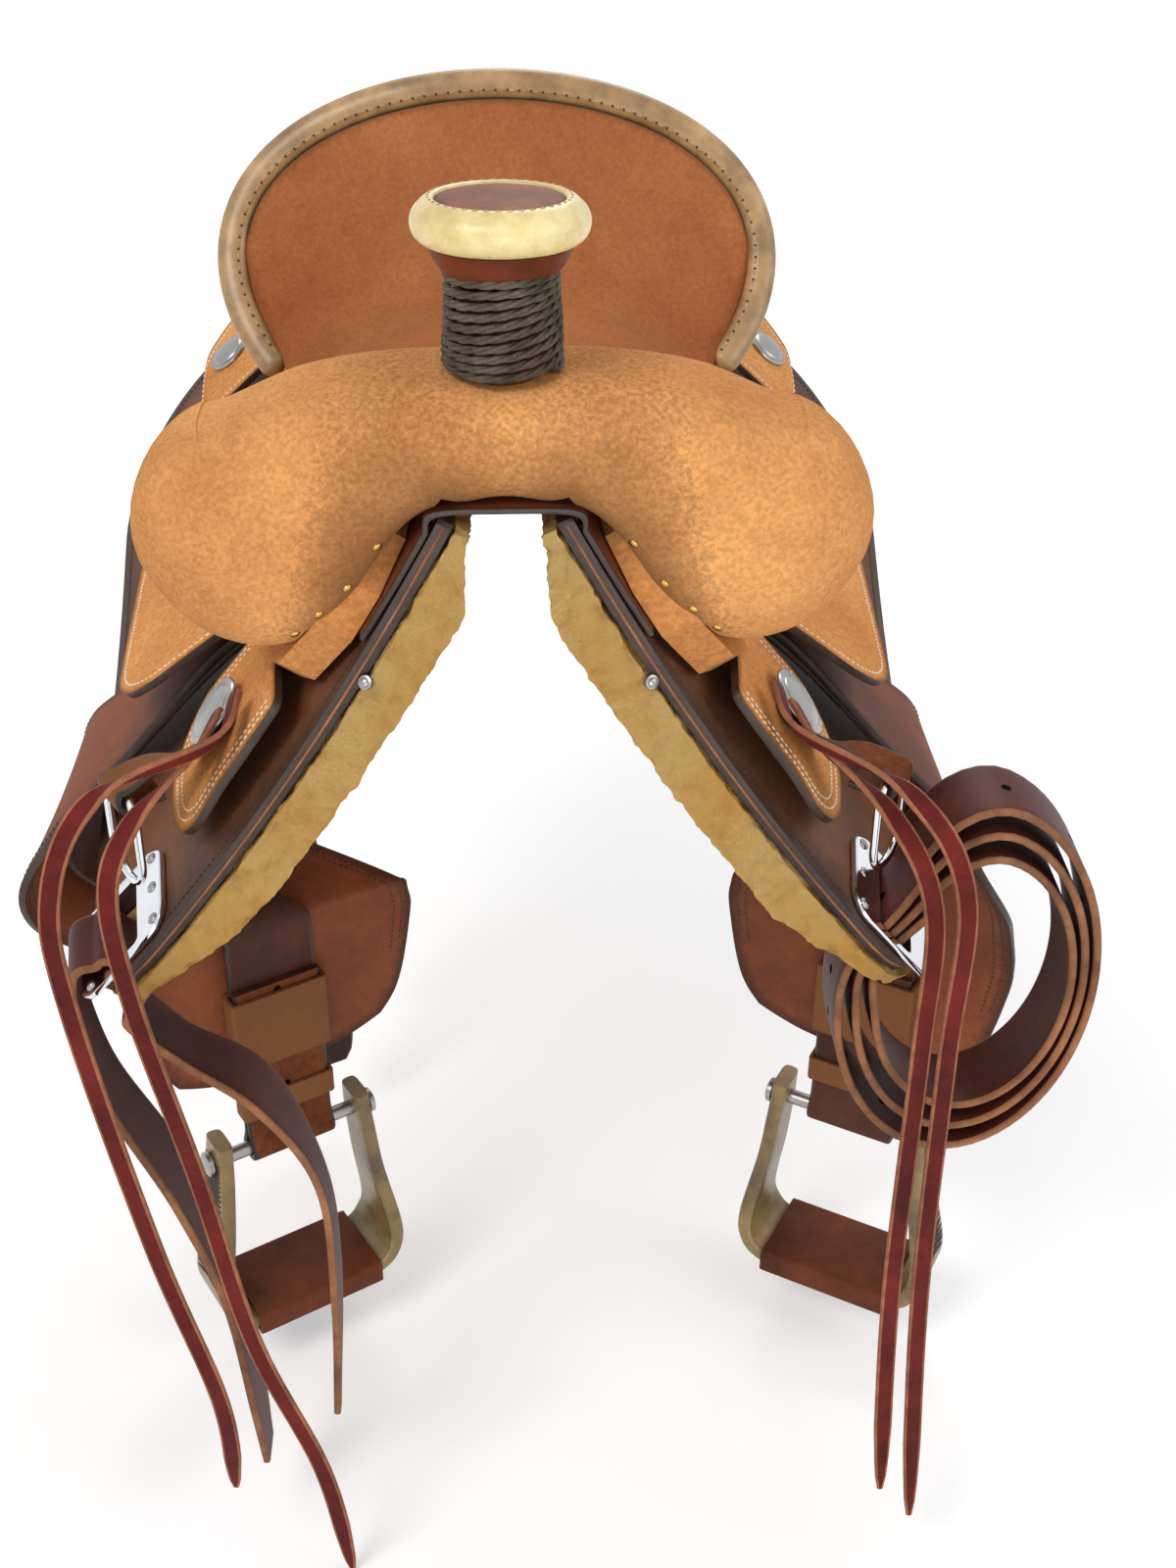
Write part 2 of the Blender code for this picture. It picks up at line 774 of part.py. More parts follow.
def rim_frame(u):
    """The rim's place, its run, the way in over the seat's face, and the face's own way."""
    here = rim_at(u)
    ahead = (rim_at(u + 0.01) - rim_at(u - 0.01)).normalized()
    inward = CANTLE_FOCUS - here
    inward = (inward - ahead * inward.dot(ahead)).normalized()
    return here, ahead, inward, inward.cross(ahead).normalized()


SEAT_ROWS = (
    # y, height at the middle, how far down the back the edge lies, how square the middle is
    (0.078, 0.034, 0.058, 2.2),
    (0.150, 0.010, 0.082, 2.2),
    (0.230, -0.013, 0.094, 2.6),
    (0.300, -0.024, 0.108, 3.0),
)
FOOT_V = len(SEAT_ROWS) / (len(SEAT_ROWS) + 2)
SEAT_SOUND = 0.76
SEAT_EAR = 0.31
SEAT_EAR_START = 0.66


def seat_row(row, u):
    y, middle, down, square = row
    edge = back(1, y, down, SEAT_LIFT)
    height = mix(middle, edge.z, abs(u) ** square)
    return Vector((edge.x * u, y, height))


def seat_rim(u):
    """The seat leather's end under the binding's inner side."""
    here, _, inward, face = rim_frame(u)
    return here + inward * (BINDING_WIDTH / 2 + 2 * GAP) + face * (BINDING_THICK / 2 - 0.0025)


def seat_point(u, v):
    """The seat's upper face: u across, v from the fork (0) to the cantle's rim (1)."""
    rows = [seat_row(row, u) for row in SEAT_ROWS]
    rim = seat_rim(u)
    end = seat_rim(1.0)
    foot_y = mix(0.366, end.y - 0.026, abs(u) ** 2.4)
    foot_z = mix(-0.016, end.z - 0.012, abs(u) ** 2.6)
    foot = Vector((end.x * 1.015 * u, foot_y, foot_z))
    middle = mix(foot, rim, 0.5) + Vector((0.0, 0.006, -0.010)) * (1.0 - abs(u) ** 3)
    middle.x = mix(foot.x, rim.x, 0.62)
    rows += [foot, middle, rim]
    return curve_at(rows, v)


def seat_normal(u, v):
    step = 0.08
    u = min(max(u, -SEAT_SOUND), SEAT_SOUND)
    low = max(v - step, 0.0)
    high = min(v + step, 1.0)
    left = max(u - step, -1.0)
    right = min(u + step, 1.0)
    along = seat_point(u, high) - seat_point(u, low)
    across = seat_point(right, v) - seat_point(left, v)
    return across.cross(along).normalized()


def seat_end(u):
    """Where the seat leather ends: at the rim, but its ears stop short of the rim's ends."""
    return 1.0 - SEAT_EAR * smooth((abs(u) - SEAT_EAR_START) / (1.0 - SEAT_EAR_START))


def seat_sheet(depth, thick, span, start, end):
    """A layer of the seat: this deep under its face and this thick."""

    def spot(s, t, face):
        u = (2.0 * t - 1.0) * span
        v = mix(start, min(end, seat_end(u)), s)
        return seat_point(u, v) - seat_normal(u, v) * (depth + thick * (1 - face))

    return spot


def cantle_rear(u, t):
    """The cantle core's rear face, from its foot on the bars (0) to its crest (1)."""
    here, _, inward, face = rim_frame(u)
    crest = seat_rim(u) - face * (SEAT_THICK + LAYER_GAP + mix(CANTLE_CREST, 0.007, abs(u) ** 3))
    side = 1.0 if u >= 0 else -1.0
    y = mix(CANTLE_BASE_Y, CANTLE_SIDE_Y, abs(u) ** 2.5)
    lift = BAR_SEAT + BAR_THICK + LAYER_GAP
    beyond = max(abs(u) - CANTLE_KNEE, 0.0) / (CANTLE_SPAN - CANTLE_KNEE)
    foot = back(side, y, mix(BAR_TOP - 0.004, 0.118, beyond), lift)
    foot.x *= min(abs(u) / CANTLE_KNEE, 1.0)
    return mix(foot, crest, t)


def make_seat(root, suede, ground_leather, wood, back_leather, rawhide):
    place = seat_sheet(0.0, SEAT_THICK, 1.0, 0.0, 1.0)
    add("seat_leather", sheet(place, 16, 12), suede, root)
    deep = SEAT_THICK + LAYER_GAP
    under = deep + 2 * LAYER_GAP
    place = seat_sheet(under, GROUND_THICK, GROUND_SPAN, 0.0, FOOT_V - 0.06)
    ground = add("ground_seat", sheet(place, 8, 6), ground_leather, root)
    for side, word in SIDES.items():
        room = laid(side, bar_outline(LAYER_GAP), -0.004, BAR_SEAT + BAR_THICK + 0.0046)
        tool = cutter(f"bar_room_tool_{word}", sheet(room, 16, 4), root)
        cut(ground, tool)

    def core_place(s, t, face):
        """The cantle's wooden core: its face lies under the seat leather."""
        u = (2.0 * s - 1.0) * CANTLE_SPAN
        if not face:
            return cantle_rear(u, t)
        v = mix(FOOT_V + 0.03, 1.0, t)
        return seat_point(u, v) - seat_normal(u, v) * (deep + 4 * LAYER_GAP)

    add("cantle_core", sheet(core_place, 16, 4), wood, root)

    def back_place(s, t, face):
        u = (2.0 * s - 1.0) * CANTLE_SPAN
        step = 0.04
        along = cantle_rear(u + step, t) - cantle_rear(u - step, t)
        across = cantle_rear(u, min(t + step, 1.0)) - cantle_rear(u, max(t - step, 0.0))
        out = along.cross(across).normalized()
        if out.dot(Vector((u, 1.0, 0.0))) < 0:
            out = -out
        return cantle_rear(u, mix(0.05, 1.0, t)) + out * (LAYER_GAP + CANTLE_BACK_THICK * face)

    add("cantle_back", sheet(back_place, 16, 4), back_leather, root)

    def binding_spot(s, t):
        """The rolled binding that closes over the rim."""
        here, _, inward, face = rim_frame(2.0 * s - 1.0)
        turn = math.tau * t
        wide = BINDING_WIDTH / 2 * math.cos(turn)
        return here + inward * wide + face * (BINDING_THICK / 2 * math.sin(turn))

    add("cantle_binding", tube(binding_spot, 36, 8), rawhide, root, 50.0)


# Jockeys


def front_lift(y, down):
    return mix(FRONT_JOCKEY_LIFT, 0.008, smooth((down - CONCHO_DOWN) / 0.07))


def rear_lift(y, down):
    high = BAR_SEAT + BAR_THICK + LAYER_GAP
    return mix(high, LAYER_GAP, smooth((down - 0.188) / 0.040))


def make_jockeys(root, tan):
    for side, word in SIDES.items():
        outline = panel(
            FRONT_JOCKEY_FRONT,
            FRONT_JOCKEY_REAR,
            (FRONT_JOCKEY_TOP, FRONT_JOCKEY_TOP),
            (FRONT_JOCKEY_DROP, FRONT_JOCKEY_DROP),
            (0.006, 0.035, 0.006, 0.045),
            (-0.05, 0.0),
        )
        place = laid(side, outline, front_lift, JOCKEY_THICK)
        add(f"front_jockey_{word}", sheet(place, 9, 4), tan, root)

        def side_lift(y, down):
            return SIDE_JOCKEY_LIFT + SIDE_JOCKEY_FLARE * smooth((down - BAR_DROP) / 0.10)

        outline = panel(
            SIDE_JOCKEY_FRONT,
            SIDE_JOCKEY_REAR,
            (0.078, 0.112),
            (SIDE_JOCKEY_DROP, SIDE_JOCKEY_DROP - 0.03),
            (0.004, 0.050, 0.030, 0.066),
        )
        place = laid(side, outline, side_lift, JOCKEY_THICK)
        add(f"side_jockey_{word}", sheet(place, 12, 4), tan, root)

        outline = panel(
            REAR_JOCKEY_FRONT,
            REAR_JOCKEY_REAR,
            (0.002, -0.026),
            (REAR_JOCKEY_DROP, REAR_JOCKEY_DROP - 0.03),
            (0.004, 0.050, 0.030, 0.080),
            (REAR_JOCKEY_LEAN, -0.05),
        )
        place = laid(side, outline, rear_lift, JOCKEY_THICK)
        add(f"rear_jockey_{word}", sheet(place, 8, 7), tan, root)


# Straps on the rigging


def coil_point(turn):
    """The latigo's middle at this angle: a drawn-in spiral whose turns meet in the slot."""
    slot = back(1, STRAP_Y, (SLOT_TOP + SLOT_DROP) / 2, -SKIRT_THICK)
    toward = math.atan2(slot.z - COIL_MIDDLE.z, slot.x - COIL_MIDDLE.x)
    reach = math.hypot(slot.z - COIL_MIDDLE.z, slot.x - COIL_MIDDLE.x)
    share = min(max((turn - COIL_START) / COIL_SWEEP, 0.0), 1.0)
    shift = Vector((COIL_SHIFT * (1.0 - share), 0.0, 0.0))
    wide = mix(COIL_INNER[0], COIL_OUTER[0], share)
    high = mix(COIL_INNER[1], COIL_OUTER[1], share)
    angle = toward + turn
    free = wide * high / math.hypot(high * math.cos(angle), wide * math.sin(angle))
    layer = turn / math.tau - 1.0
    held = reach + COIL_STACK * layer
    off = abs((turn + math.pi) % math.tau - math.pi)
    radius = mix(free, held, smooth(1.0 - off / COIL_PINCH))
    shift *= 1.0 - smooth(1.0 - off / COIL_PINCH)
    return COIL_MIDDLE + shift + Vector((radius * math.cos(angle), 0.0, radius * math.sin(angle)))


def make_latigo(stand, dark):
    count = int(COIL_SWEEP / math.tau * COIL_LOOP_POINTS)

    def spot(s, t):
        turn = COIL_START + COIL_SWEEP * s
        here = coil_point(turn)
        step = math.pi / COIL_LOOP_POINTS / 2
        ahead = (coil_point(turn + step) - coil_point(turn - step)).normalized()
        up = Vector((ahead.z, 0.0, -ahead.x))
        corner = ((1, 1), (-1, 1), (-1, -1), (1, -1))[round(t * 4) % 4]
        wide = Vector((0.0, STRAP_WIDTH / 2 * corner[0], 0.0))
        return here + wide + up * (STRAP_THICK / 2 * corner[1])

    add_at("latigo_coil", tube(spot, count, 4), dark, stand)
    nearest = 1.0
    for i in range(count * 4 - COIL_LOOP_POINTS * 2):
        here = coil_point(COIL_START + COIL_SWEEP * i / (count * 4))
        for j in range(i + COIL_LOOP_POINTS * 2, count * 4):
            there = coil_point(COIL_START + COIL_SWEEP * j / (count * 4))
            nearest = min(nearest, (here - there).length)
    print(f"latigo: least gap {1000 * (nearest - STRAP_THICK):.2f} mm")


def make_billets(root, dark, black):
    fold = back(-1, STRAP_Y, (SLOT_DROP + PLATE_DROP) / 2, -SKIRT_THICK)
    stand = stand_at("off_billet_stand", root, fold)
    y = STRAP_Y
    near = STRAP_THICK / 2 + FOLD_GAP
    plate = 2 * LAYER_GAP + GAP + PLATE_THICK
    under = fleece_under(y, SLOT_DROP) - 2 * LAYER_GAP
    points = [
        Vector((-0.116, y, -0.632)),
        Vector((-0.110, y, -0.520)),
        Vector((-0.114, y, -0.430)),
        Vector((-0.142, y, -0.362)),
        Vector((-0.184, y, -0.326)),
        back(-1, y, SLOT_DROP + 0.030, under - near - 0.010),
        back(-1, y, SLOT_DROP + 0.014, under - near - 0.0042),
        back(-1, y, SLOT_DROP + 0.0015, under - near - 0.0014),
        back(-1, y, SLOT_DROP - near, under + 0.002),
        back(-1, y, SLOT_DROP - near, -0.006),
        back(-1, y, SLOT_DROP - near, plate - near),
        back(-1, y, SLOT_DROP - near * 0.4, plate + near * 0.6),
        back(-1, y, SLOT_DROP + near, plate + near),
        back(-1, y, SLOT_DROP + 0.024, plate + near + 0.001),
        Vector((-0.229, y, -0.345)),
        Vector((-0.196, y, -0.430)),
        Vector((-0.176, y, -0.520)),
        Vector((-0.166, y, -0.610)),
        Vector((-0.163, y, -0.668)),
    ]
    flat = Vector((0.0, 1.0, 0.0))
    across = [flat] * 4 + [back_run(-1, y, SLOT_DROP)] * 10 + [flat] * 5
    widths = [0.012, 0.040, 0.026, 0.044, 0.038, 0.044, 0.044, 0.044, 0.044, 0.044]
    widths += [0.044, 0.044, 0.044, 0.040, 0.038, 0.045, 0.030, 0.040, 0.026]
    form = ribbon(points, across, widths, STRAP_THICK, 60)
    add_at("off_billet", form, dark, stand)

    ends = {
        1: [Vector((0.226, 0.360, -0.345)), Vector((0.226, 0.360, -0.430))],
        -1: [Vector((-0.190, 0.362, -0.380)), Vector((-0.160, 0.362, -0.510))],
    }
    feet = {1: Vector((0.225, 0.360, -0.524)), -1: Vector((-0.140, 0.362, -0.655))}
    for side, word in SIDES.items():
        y = REAR_BILLET_Y
        low = fleece_under(y, REAR_BILLET_DOWN) - STRAP_THICK / 2 - LAYER_GAP
        top = back(side, y, REAR_BILLET_DOWN, low)
        stand = stand_at(f"rear_billet_stand_{word}", root, top)
        points = [
            top,
            back(side, y, REAR_BILLET_DOWN + 0.016, low - 0.0014),
            back(side, y, REAR_BILLET_DOWN + 0.034, low - 0.0105),
        ]
        between = mix(points[2], ends[side][0], 0.34) + Vector((0.005 * side, 0.0, 0.003))
        points += [between] + ends[side] + [feet[side]]
        flat = Vector((0.0, 1.0, 0.0))
        turned_way = Vector((0.94 * side, -0.34, 0.0))
        run = back_run(side, y, REAR_BILLET_DOWN)
        turns = [mix(flat, turned_way, 0.3), mix(flat, turned_way, 0.75)]
        across = [run, run, run] + turns + [turned_way, turned_way]
        form = ribbon(points, across, [0.045, 0.046], STRAP_THICK, 24)
        add_at(f"rear_billet_{word}", form, dark if side > 0 else black, stand)


# Conchos, dee straps, dee rings and strings


def make_conchos(root, steel, tan):
    for side, word in SIDES.items():
        spots = (
            ("front", CONCHO_Y, CONCHO_DOWN, CONCHO_RADIUS),
            ("rear", REAR_CONCHO_Y, REAR_CONCHO_DOWN, REAR_CONCHO_RADIUS),
        )
        for place, y, down, radius in spots:
            low = front_lift(y, down) + JOCKEY_THICK + DEE_STRAP_THICK + 8 * GAP
            if place == "rear":
                low = rear_lift(y, down) + JOCKEY_THICK + LAYER_GAP
            profile = [
                (0.0, 0.0),
                (radius, 0.0),
                (radius, CONCHO_THICK * 0.4),
                (radius * 0.86, CONCHO_THICK * 0.7),
                (radius * 0.80, CONCHO_THICK * 0.6),
                (radius * 0.45, CONCHO_THICK * 1.3),
                (0.0, CONCHO_THICK * 1.6),
            ]
            piece = add(f"{place}_concho_{word}", turned(profile, 18), steel, root)
            normal = back_normal(y, down)
            normal.x *= side
            piece.location = back(side, y, down, low)
            piece.rotation_euler = normal.to_track_quat("Z", "Y").to_euler()

        axis = Vector((math.cos(DEE_YAW) * side, math.sin(DEE_YAW), 0.0))
        out = Vector((math.sin(DEE_YAW) * side, -math.cos(DEE_YAW), 0.0))
        up = Vector((0.0, 0.0, 1.0))
        bar = Vector((DEE_BAR.x * side, DEE_BAR.y, DEE_BAR.z))
        turn = DEE_WIRE / 2 + DEE_STRAP_THICK / 2 + 3 * SWING_GAP
        lift = front_lift(CONCHO_Y, CONCHO_DOWN) + JOCKEY_THICK + DEE_STRAP_THICK / 2 + 2 * GAP
        start = back(side, CONCHO_Y, CONCHO_DOWN, lift)
        rest = back(side, CONCHO_Y - 0.018, CONCHO_DOWN + 0.010, lift + 0.0015)
        points = [
            start,
            rest,
            mix(rest, bar, 0.55) + up * 0.006,
            bar + up * turn - out * 0.004,
            bar + (up + out).normalized() * turn,
            bar + (out - up).normalized() * turn,
            bar - up * turn - out * 0.002,
            bar - out * 0.020 - up * (turn - 0.001),
        ]
        normal = back_normal(CONCHO_Y, CONCHO_DOWN)
        normal.x *= side
        run = normal.cross(rest - start).normalized()
        if run.dot(axis) < 0:
            run = -run
        across = [run, run, mix(run, axis, 0.6), axis, axis, axis, axis, axis]
        wide = DEE_STRAP_WIDTH
        widths = [0.036, 0.040, wide, wide, wide, wide, wide, wide]
        form = ribbon(points, across, widths, DEE_STRAP_THICK, 28)
        add(f"dee_strap_{word}", form, tan, root)

        stand = stand_at(f"dee_stand_{word}", root, bar)
        half_wide = DEE_WIDTH / 2 - DEE_WIRE / 2
        height = DEE_HEIGHT - DEE_WIRE
        corners = (
            (half_wide, 0.0, 90.0, 0.0),
            (half_wide, -height, 0.0, -90.0),
            (-half_wide, -height, -90.0, -180.0),
            (-half_wide, 0.0, 180.0, 90.0),
        )
        ring = []
        for a, b, begin, end in corners:
            radius = DEE_CORNER if b == 0.0 else half_wide
            middle_a = a - math.copysign(radius, a)
            middle_b = b - radius if b == 0.0 else b + radius
            for step in range(6):
                angle = math.radians(mix(begin, end, step / 5))
                ring.append(
                    axis * (middle_a + radius * math.cos(angle))
                    + up * (middle_b + radius * math.sin(angle))
                )
        ring = [p for p, q in zip(ring, ring[1:] + ring[:1]) if (p - q).length > 1e-5]
        wire(f"dee_ring_{word}", ring, DEE_WIRE / 2, steel, stand, True, 1)


STRING_ROUTES = {
    "string_near_inner": (
        (0.1460, 0.014, -0.1238),
        (0.1574, -0.014, -0.1339),
        (0.190, -0.044, -0.156),
        (0.213, -0.058, -0.205),
        (0.215, -0.060, -0.300),
        (0.216, -0.060, -0.480),
        (0.225, -0.060, -0.653),
    ),
    "string_near_outer": (
        (0.1365, 0.014, -0.114),
        (0.1462, -0.0165, -0.1238),
        (0.198, -0.047, -0.142),
        (0.228, -0.060, -0.195),
        (0.229, -0.062, -0.300),
        (0.233, -0.060, -0.480),
        (0.246, -0.060, -0.680),
    ),
    "string_off_inner": (
        (-0.1465, 0.014, -0.1235),
        (-0.1578, -0.014, -0.1337),
        (-0.184, -0.046, -0.150),
        (-0.198, -0.058, -0.185),
        (-0.193, -0.060, -0.255),
        (-0.173, -0.060, -0.371),
        (-0.153, -0.060, -0.504),
        (-0.121, -0.060, -0.618),
        (-0.108, -0.060, -0.715),
    ),
    "string_off_outer": (
        (-0.1365, 0.014, -0.114),
        (-0.1460, -0.0165, -0.1232),
        (-0.201, -0.046, -0.136),
        (-0.226, -0.058, -0.185),
        (-0.225, -0.060, -0.260),
        (-0.201, -0.060, -0.430),
        (-0.177, -0.060, -0.553),
        (-0.177, -0.048, -0.646),
    ),
    "rear_string_near": (
        (0.1922, 0.409, -0.2281),
        (0.1965, 0.405, -0.270),
        (0.197, 0.401, -0.380),
        (0.202, 0.400, -0.496),
        (0.222, 0.400, -0.580),
    ),
    "rear_string_off": (
        (-0.1724, 0.4598, -0.1958),
        (-0.1718, 0.456, -0.240),
        (-0.168, 0.450, -0.360),
        (-0.160, 0.450, -0.485),
        (-0.139, 0.450, -0.622),
    ),
}


def make_strings(root, burgundy):
    for name, route in STRING_ROUTES.items():
        points = [Vector(point) for point in route]
        side = 1.0 if points[0].x > 0 else -1.0
        flat = Vector((side, 0.1, 0.0))
        across = [flat] * len(points)
        if name.startswith("string"):
            down = Vector((0.60 * side, 0.0, -0.80))
            across[:3] = [down, down, mix(down, flat, 0.6)]
        else:
            run = Vector((0.10 * side, 0.98, 0.18))
            across[:2] = [run, run]
        form = ribbon(points, across, [STRING_WIDTH, STRING_WIDTH], STRING_THICK, 17)
        add(name, form, burgundy, root)


# Stirrup leathers, fenders and stirrups


def yaw_way(side, yaw):
    """The strap's width direction once it has turned to this yaw: its front edge leads out."""
    return Vector((math.cos(yaw) * side, -math.sin(yaw), 0.0))


def out_way(side, yaw):
    return Vector((math.sin(yaw) * side, math.cos(yaw), 0.0))


def hang_point(side):
    """The fender's pivot, where its leather comes out on the skirt from under the bar."""
    return back(side, HANG_Y, HANG_DOWN, LEATHER_THICK / 2 + HANG_CLEARANCE)


def leather_route(side):
    """The stirrup leather's middle line from the bar to the bolt, with its yaw at each point."""
    straight_x = BOLT_X[side] + 0.001 * side
    bolt = Vector((BOLT_X[side], BOLT_Y, BOLT_Z))
    edge = back(side, HANG_Y, 0.318, HANG_LIFT)
    bulge = Vector((edge.x + 0.004 * side, BOLT_Y - 0.001, edge.z - 0.040))
    top = Vector((straight_x, BOLT_Y, STRAIGHT_TOP))
    between = Vector((mix(bulge.x, top.x, 0.50), BOLT_Y, mix(bulge.z, top.z, 0.44)))
    above = Vector((mix(bulge.x, top.x, 0.955), BOLT_Y, mix(bulge.z, top.z, 0.76)))
    points = [
        hang_point(side),
        back(side, HANG_Y, 0.190, HANG_LIFT - 0.001),
        back(side, HANG_Y, 0.256, HANG_LIFT),
        edge,
        bulge,
        between,
        above,
        top,
        mix(top, bolt, 0.155),
        mix(top, bolt, 0.48),
        mix(top, bolt, 0.85),
    ]
    yaws = [90.0, 90.0, 90.0, 90.0, 76.0, 51.0, 33.5, 30.0, 30.0, 30.0, 30.0]
    return points, [math.radians(yaw) for yaw in yaws]


def make_stirrup_side(root, side, word, kit):
    points, yaws = leather_route(side)
    stand = stand_at(f"fender_stand_{word}", root, hang_point(side))
    bolt = Vector((BOLT_X[side], BOLT_Y, BOLT_Z))
    wide = yaw_way(side, LEATHER_YAW)
    out = out_way(side, LEATHER_YAW)
    down = Vector((0.0, 0.0, -1.0))
    half = (LEATHER_THICK + STRAND_GAP) / 2
    turn = BOLT_RADIUS + SWING_GAP + LEATHER_THICK / 2

    front = [point + out_way(side, yaw) * half for point, yaw in zip(points, yaws)]
    front[0] = points[0]
    near_bolt = mix(points[10], bolt, 0.55)
    spread = mix(half, turn, 0.25)
    loop_points = [
        near_bolt + out * spread,
        bolt + out * turn,
        bolt + (out + down).normalized() * turn,
        bolt + down * turn,
        bolt + (down - out).normalized() * turn,
        bolt - out * turn,
        near_bolt - out * spread,
        points[10] - out * half,
        points[9] - out * half,
        points[8] - out * half,
    ]
    strap = front + loop_points
    across = [yaw_way(side, yaw) for yaw in yaws] + [wide] * len(loop_points)
    widths = [HANG_WIDTH] + [LEATHER_WIDTH] * (len(strap) - 1)
    form = ribbon(strap, across, widths, LEATHER_THICK, 57, square=False)
    add_at(f"stirrup_leather_{word}", form, kit["dark"], stand)

    foot = Vector((BOLT_X[side], BOLT_Y, BOLT_Z + FENDER_FOOT))
    route = [mix(points[0], points[1], 0.4)] + points[1:10] + [foot]
    fender_yaws = yaws[:10] + yaws[9:10]
    offsets = [0.0, 0.0, 0.0, 0.0015, 0.0030, 0.0036] + [0.0038] * 5
    if side < 0:
        offsets[3:8] = [0.0030, 0.0055, 0.0054, 0.0050, 0.0046]
    shares = (0.38, 0.40, 0.51, 0.69, 0.80, 0.89, 0.96, 1.0, 0.99, 0.87, 0.67)
    fronts = [FENDER_FRONT * share for share in shares]
    rears = [FENDER_REAR * (share - 0.05 * (share < 0.7)) for share in shares]

    def fender_line(s, t):
        way = yaw_way(side, curve_at(fender_yaws, s))
        return curve_at(route, s) + way * mix(-curve_at(rears, s), curve_at(fronts, s), t)

    def fender_place(s, t, face):
        yaw = curve_at(fender_yaws, s)
        ahead = fender_line(s + 0.02, t) - fender_line(s - 0.02, t)
        normal = yaw_way(side, yaw).cross(ahead).normalized()
        if normal.dot(out_way(side, yaw)) < 0:
            normal = -normal
        space = curve_at(offsets, s) + half + LEATHER_THICK / 2 + 2 * GAP
        return fender_line(s, t) + normal * (space + FENDER_THICK * face)

    form = sheet(fender_place, 18, 4)
    add_at(f"fender_{word}", form, kit["fender"], stand)

    room_wide = LEATHER_WIDTH / 2 + SWING_GAP
    room_deep = half + LEATHER_THICK / 2 + SWING_GAP

    def on_leather(z):
        top = Vector((BOLT_X[side] + 0.001 * side, BOLT_Y, STRAIGHT_TOP))
        return mix(top, bolt, (z - STRAIGHT_TOP) / (BOLT_Z - STRAIGHT_TOP))

    middle = on_leather(SLEEVE_TOP - SLEEVE_HEIGHT / 2)
    sleeve_stand = stand_at(f"sleeve_stand_{word}", root, middle)
    form = band(middle, wide, out, down, room_wide, room_deep, SLEEVE_WALL, SLEEVE_HEIGHT)
    add_at(f"buckle_sleeve_{word}", form, kit["tan"], sleeve_stand)
    middle = on_leather(HOBBLE_TOP - HOBBLE_HEIGHT / 2)
    form = band(middle, wide, out, down, room_wide, room_deep, HOBBLE_WALL, HOBBLE_HEIGHT)
    add_at(f"hobble_strap_{word}", form, kit["tan"], stand)

    stirrup = stand_at(f"stirrup_stand_{word}", root, bolt)
    foot = BOW_HEIGHT
    path = (
        (-BOW_TOP_HALF, -0.016),
        (-BOW_TOP_HALF - 0.002, 0.010),
        (-BOW_TOP_HALF - 0.006, 0.050),
        (-BOW_FOOT_HALF, foot - 0.032),
        (-BOW_FOOT_HALF + 0.003, foot - 0.012),
        (-BOW_FOOT_HALF + 0.014, foot - 0.001),
        (-0.030, foot),
        (0.0, foot),
        (0.030, foot),
        (BOW_FOOT_HALF - 0.014, foot - 0.001),
        (BOW_FOOT_HALF - 0.003, foot - 0.012),
        (BOW_FOOT_HALF, foot - 0.032),
        (BOW_TOP_HALF + 0.006, 0.050),
        (BOW_TOP_HALF + 0.002, 0.010),
        (BOW_TOP_HALF, -0.016),
    )
    bow_points = [bolt + wide * a + down * b for a, b in path]
    small = BOW_TOP_DEPTH
    large = BOW_FOOT_DEPTH
    widths = [small * 0.8, small, small * 1.15, large * 0.86, large * 0.98, large, large, large]
    widths += widths[:-1][::-1]
    form = ribbon(bow_points, [out] * 2, widths, BOW_THICK, 36)
    bow = add_at(f"stirrup_bow_{word}", form, kit["rawhide"], stirrup)

    def pin(name, radius, half_length):
        profile = [
            (0.0, -half_length),
            (radius, -half_length),
            (radius, half_length),
            (0.0, half_length),
        ]
        made = turned(profile, 12)
        turn_to = wide.to_track_quat("Z", "Y").to_matrix()
        for vert in made.verts:
            vert.co = turn_to @ vert.co
        return made

    tool = cutter(f"bolt_tool_{word}", pin("tool", BOLT_RADIUS + GAP, 0.080), stirrup)
    cut(bow, tool)
    shaft = BOW_TOP_HALF + BOW_THICK / 2 + 0.0025
    head = BOLT_RADIUS * 1.7
    profile = [
        (0.0, -shaft - 0.004),
        (head, -shaft - 0.004),
        (head, -shaft),
        (BOLT_RADIUS, -shaft),
        (BOLT_RADIUS, shaft),
        (head, shaft),
        (head, shaft + 0.004),
        (0.0, shaft + 0.004),
    ]
    form = turned(profile, 12)
    turn_to = wide.to_track_quat("Z", "Y").to_matrix()
    for vert in form.verts:
        vert.co = turn_to @ vert.co
    add(f"stirrup_bolt_{word}", form, kit["steel"], stirrup)

    middle = bolt + down * foot
    form = band(
        middle,
        out,
        down,
        wide,
        BOW_FOOT_DEPTH / 2 + GAP * 2,
        BOW_THICK / 2 + GAP * 2,
        TREAD_WALL,
        TREAD_SPAN,
    )
    add_at(f"stirrup_tread_{word}", form, kit["tan"], stirrup)


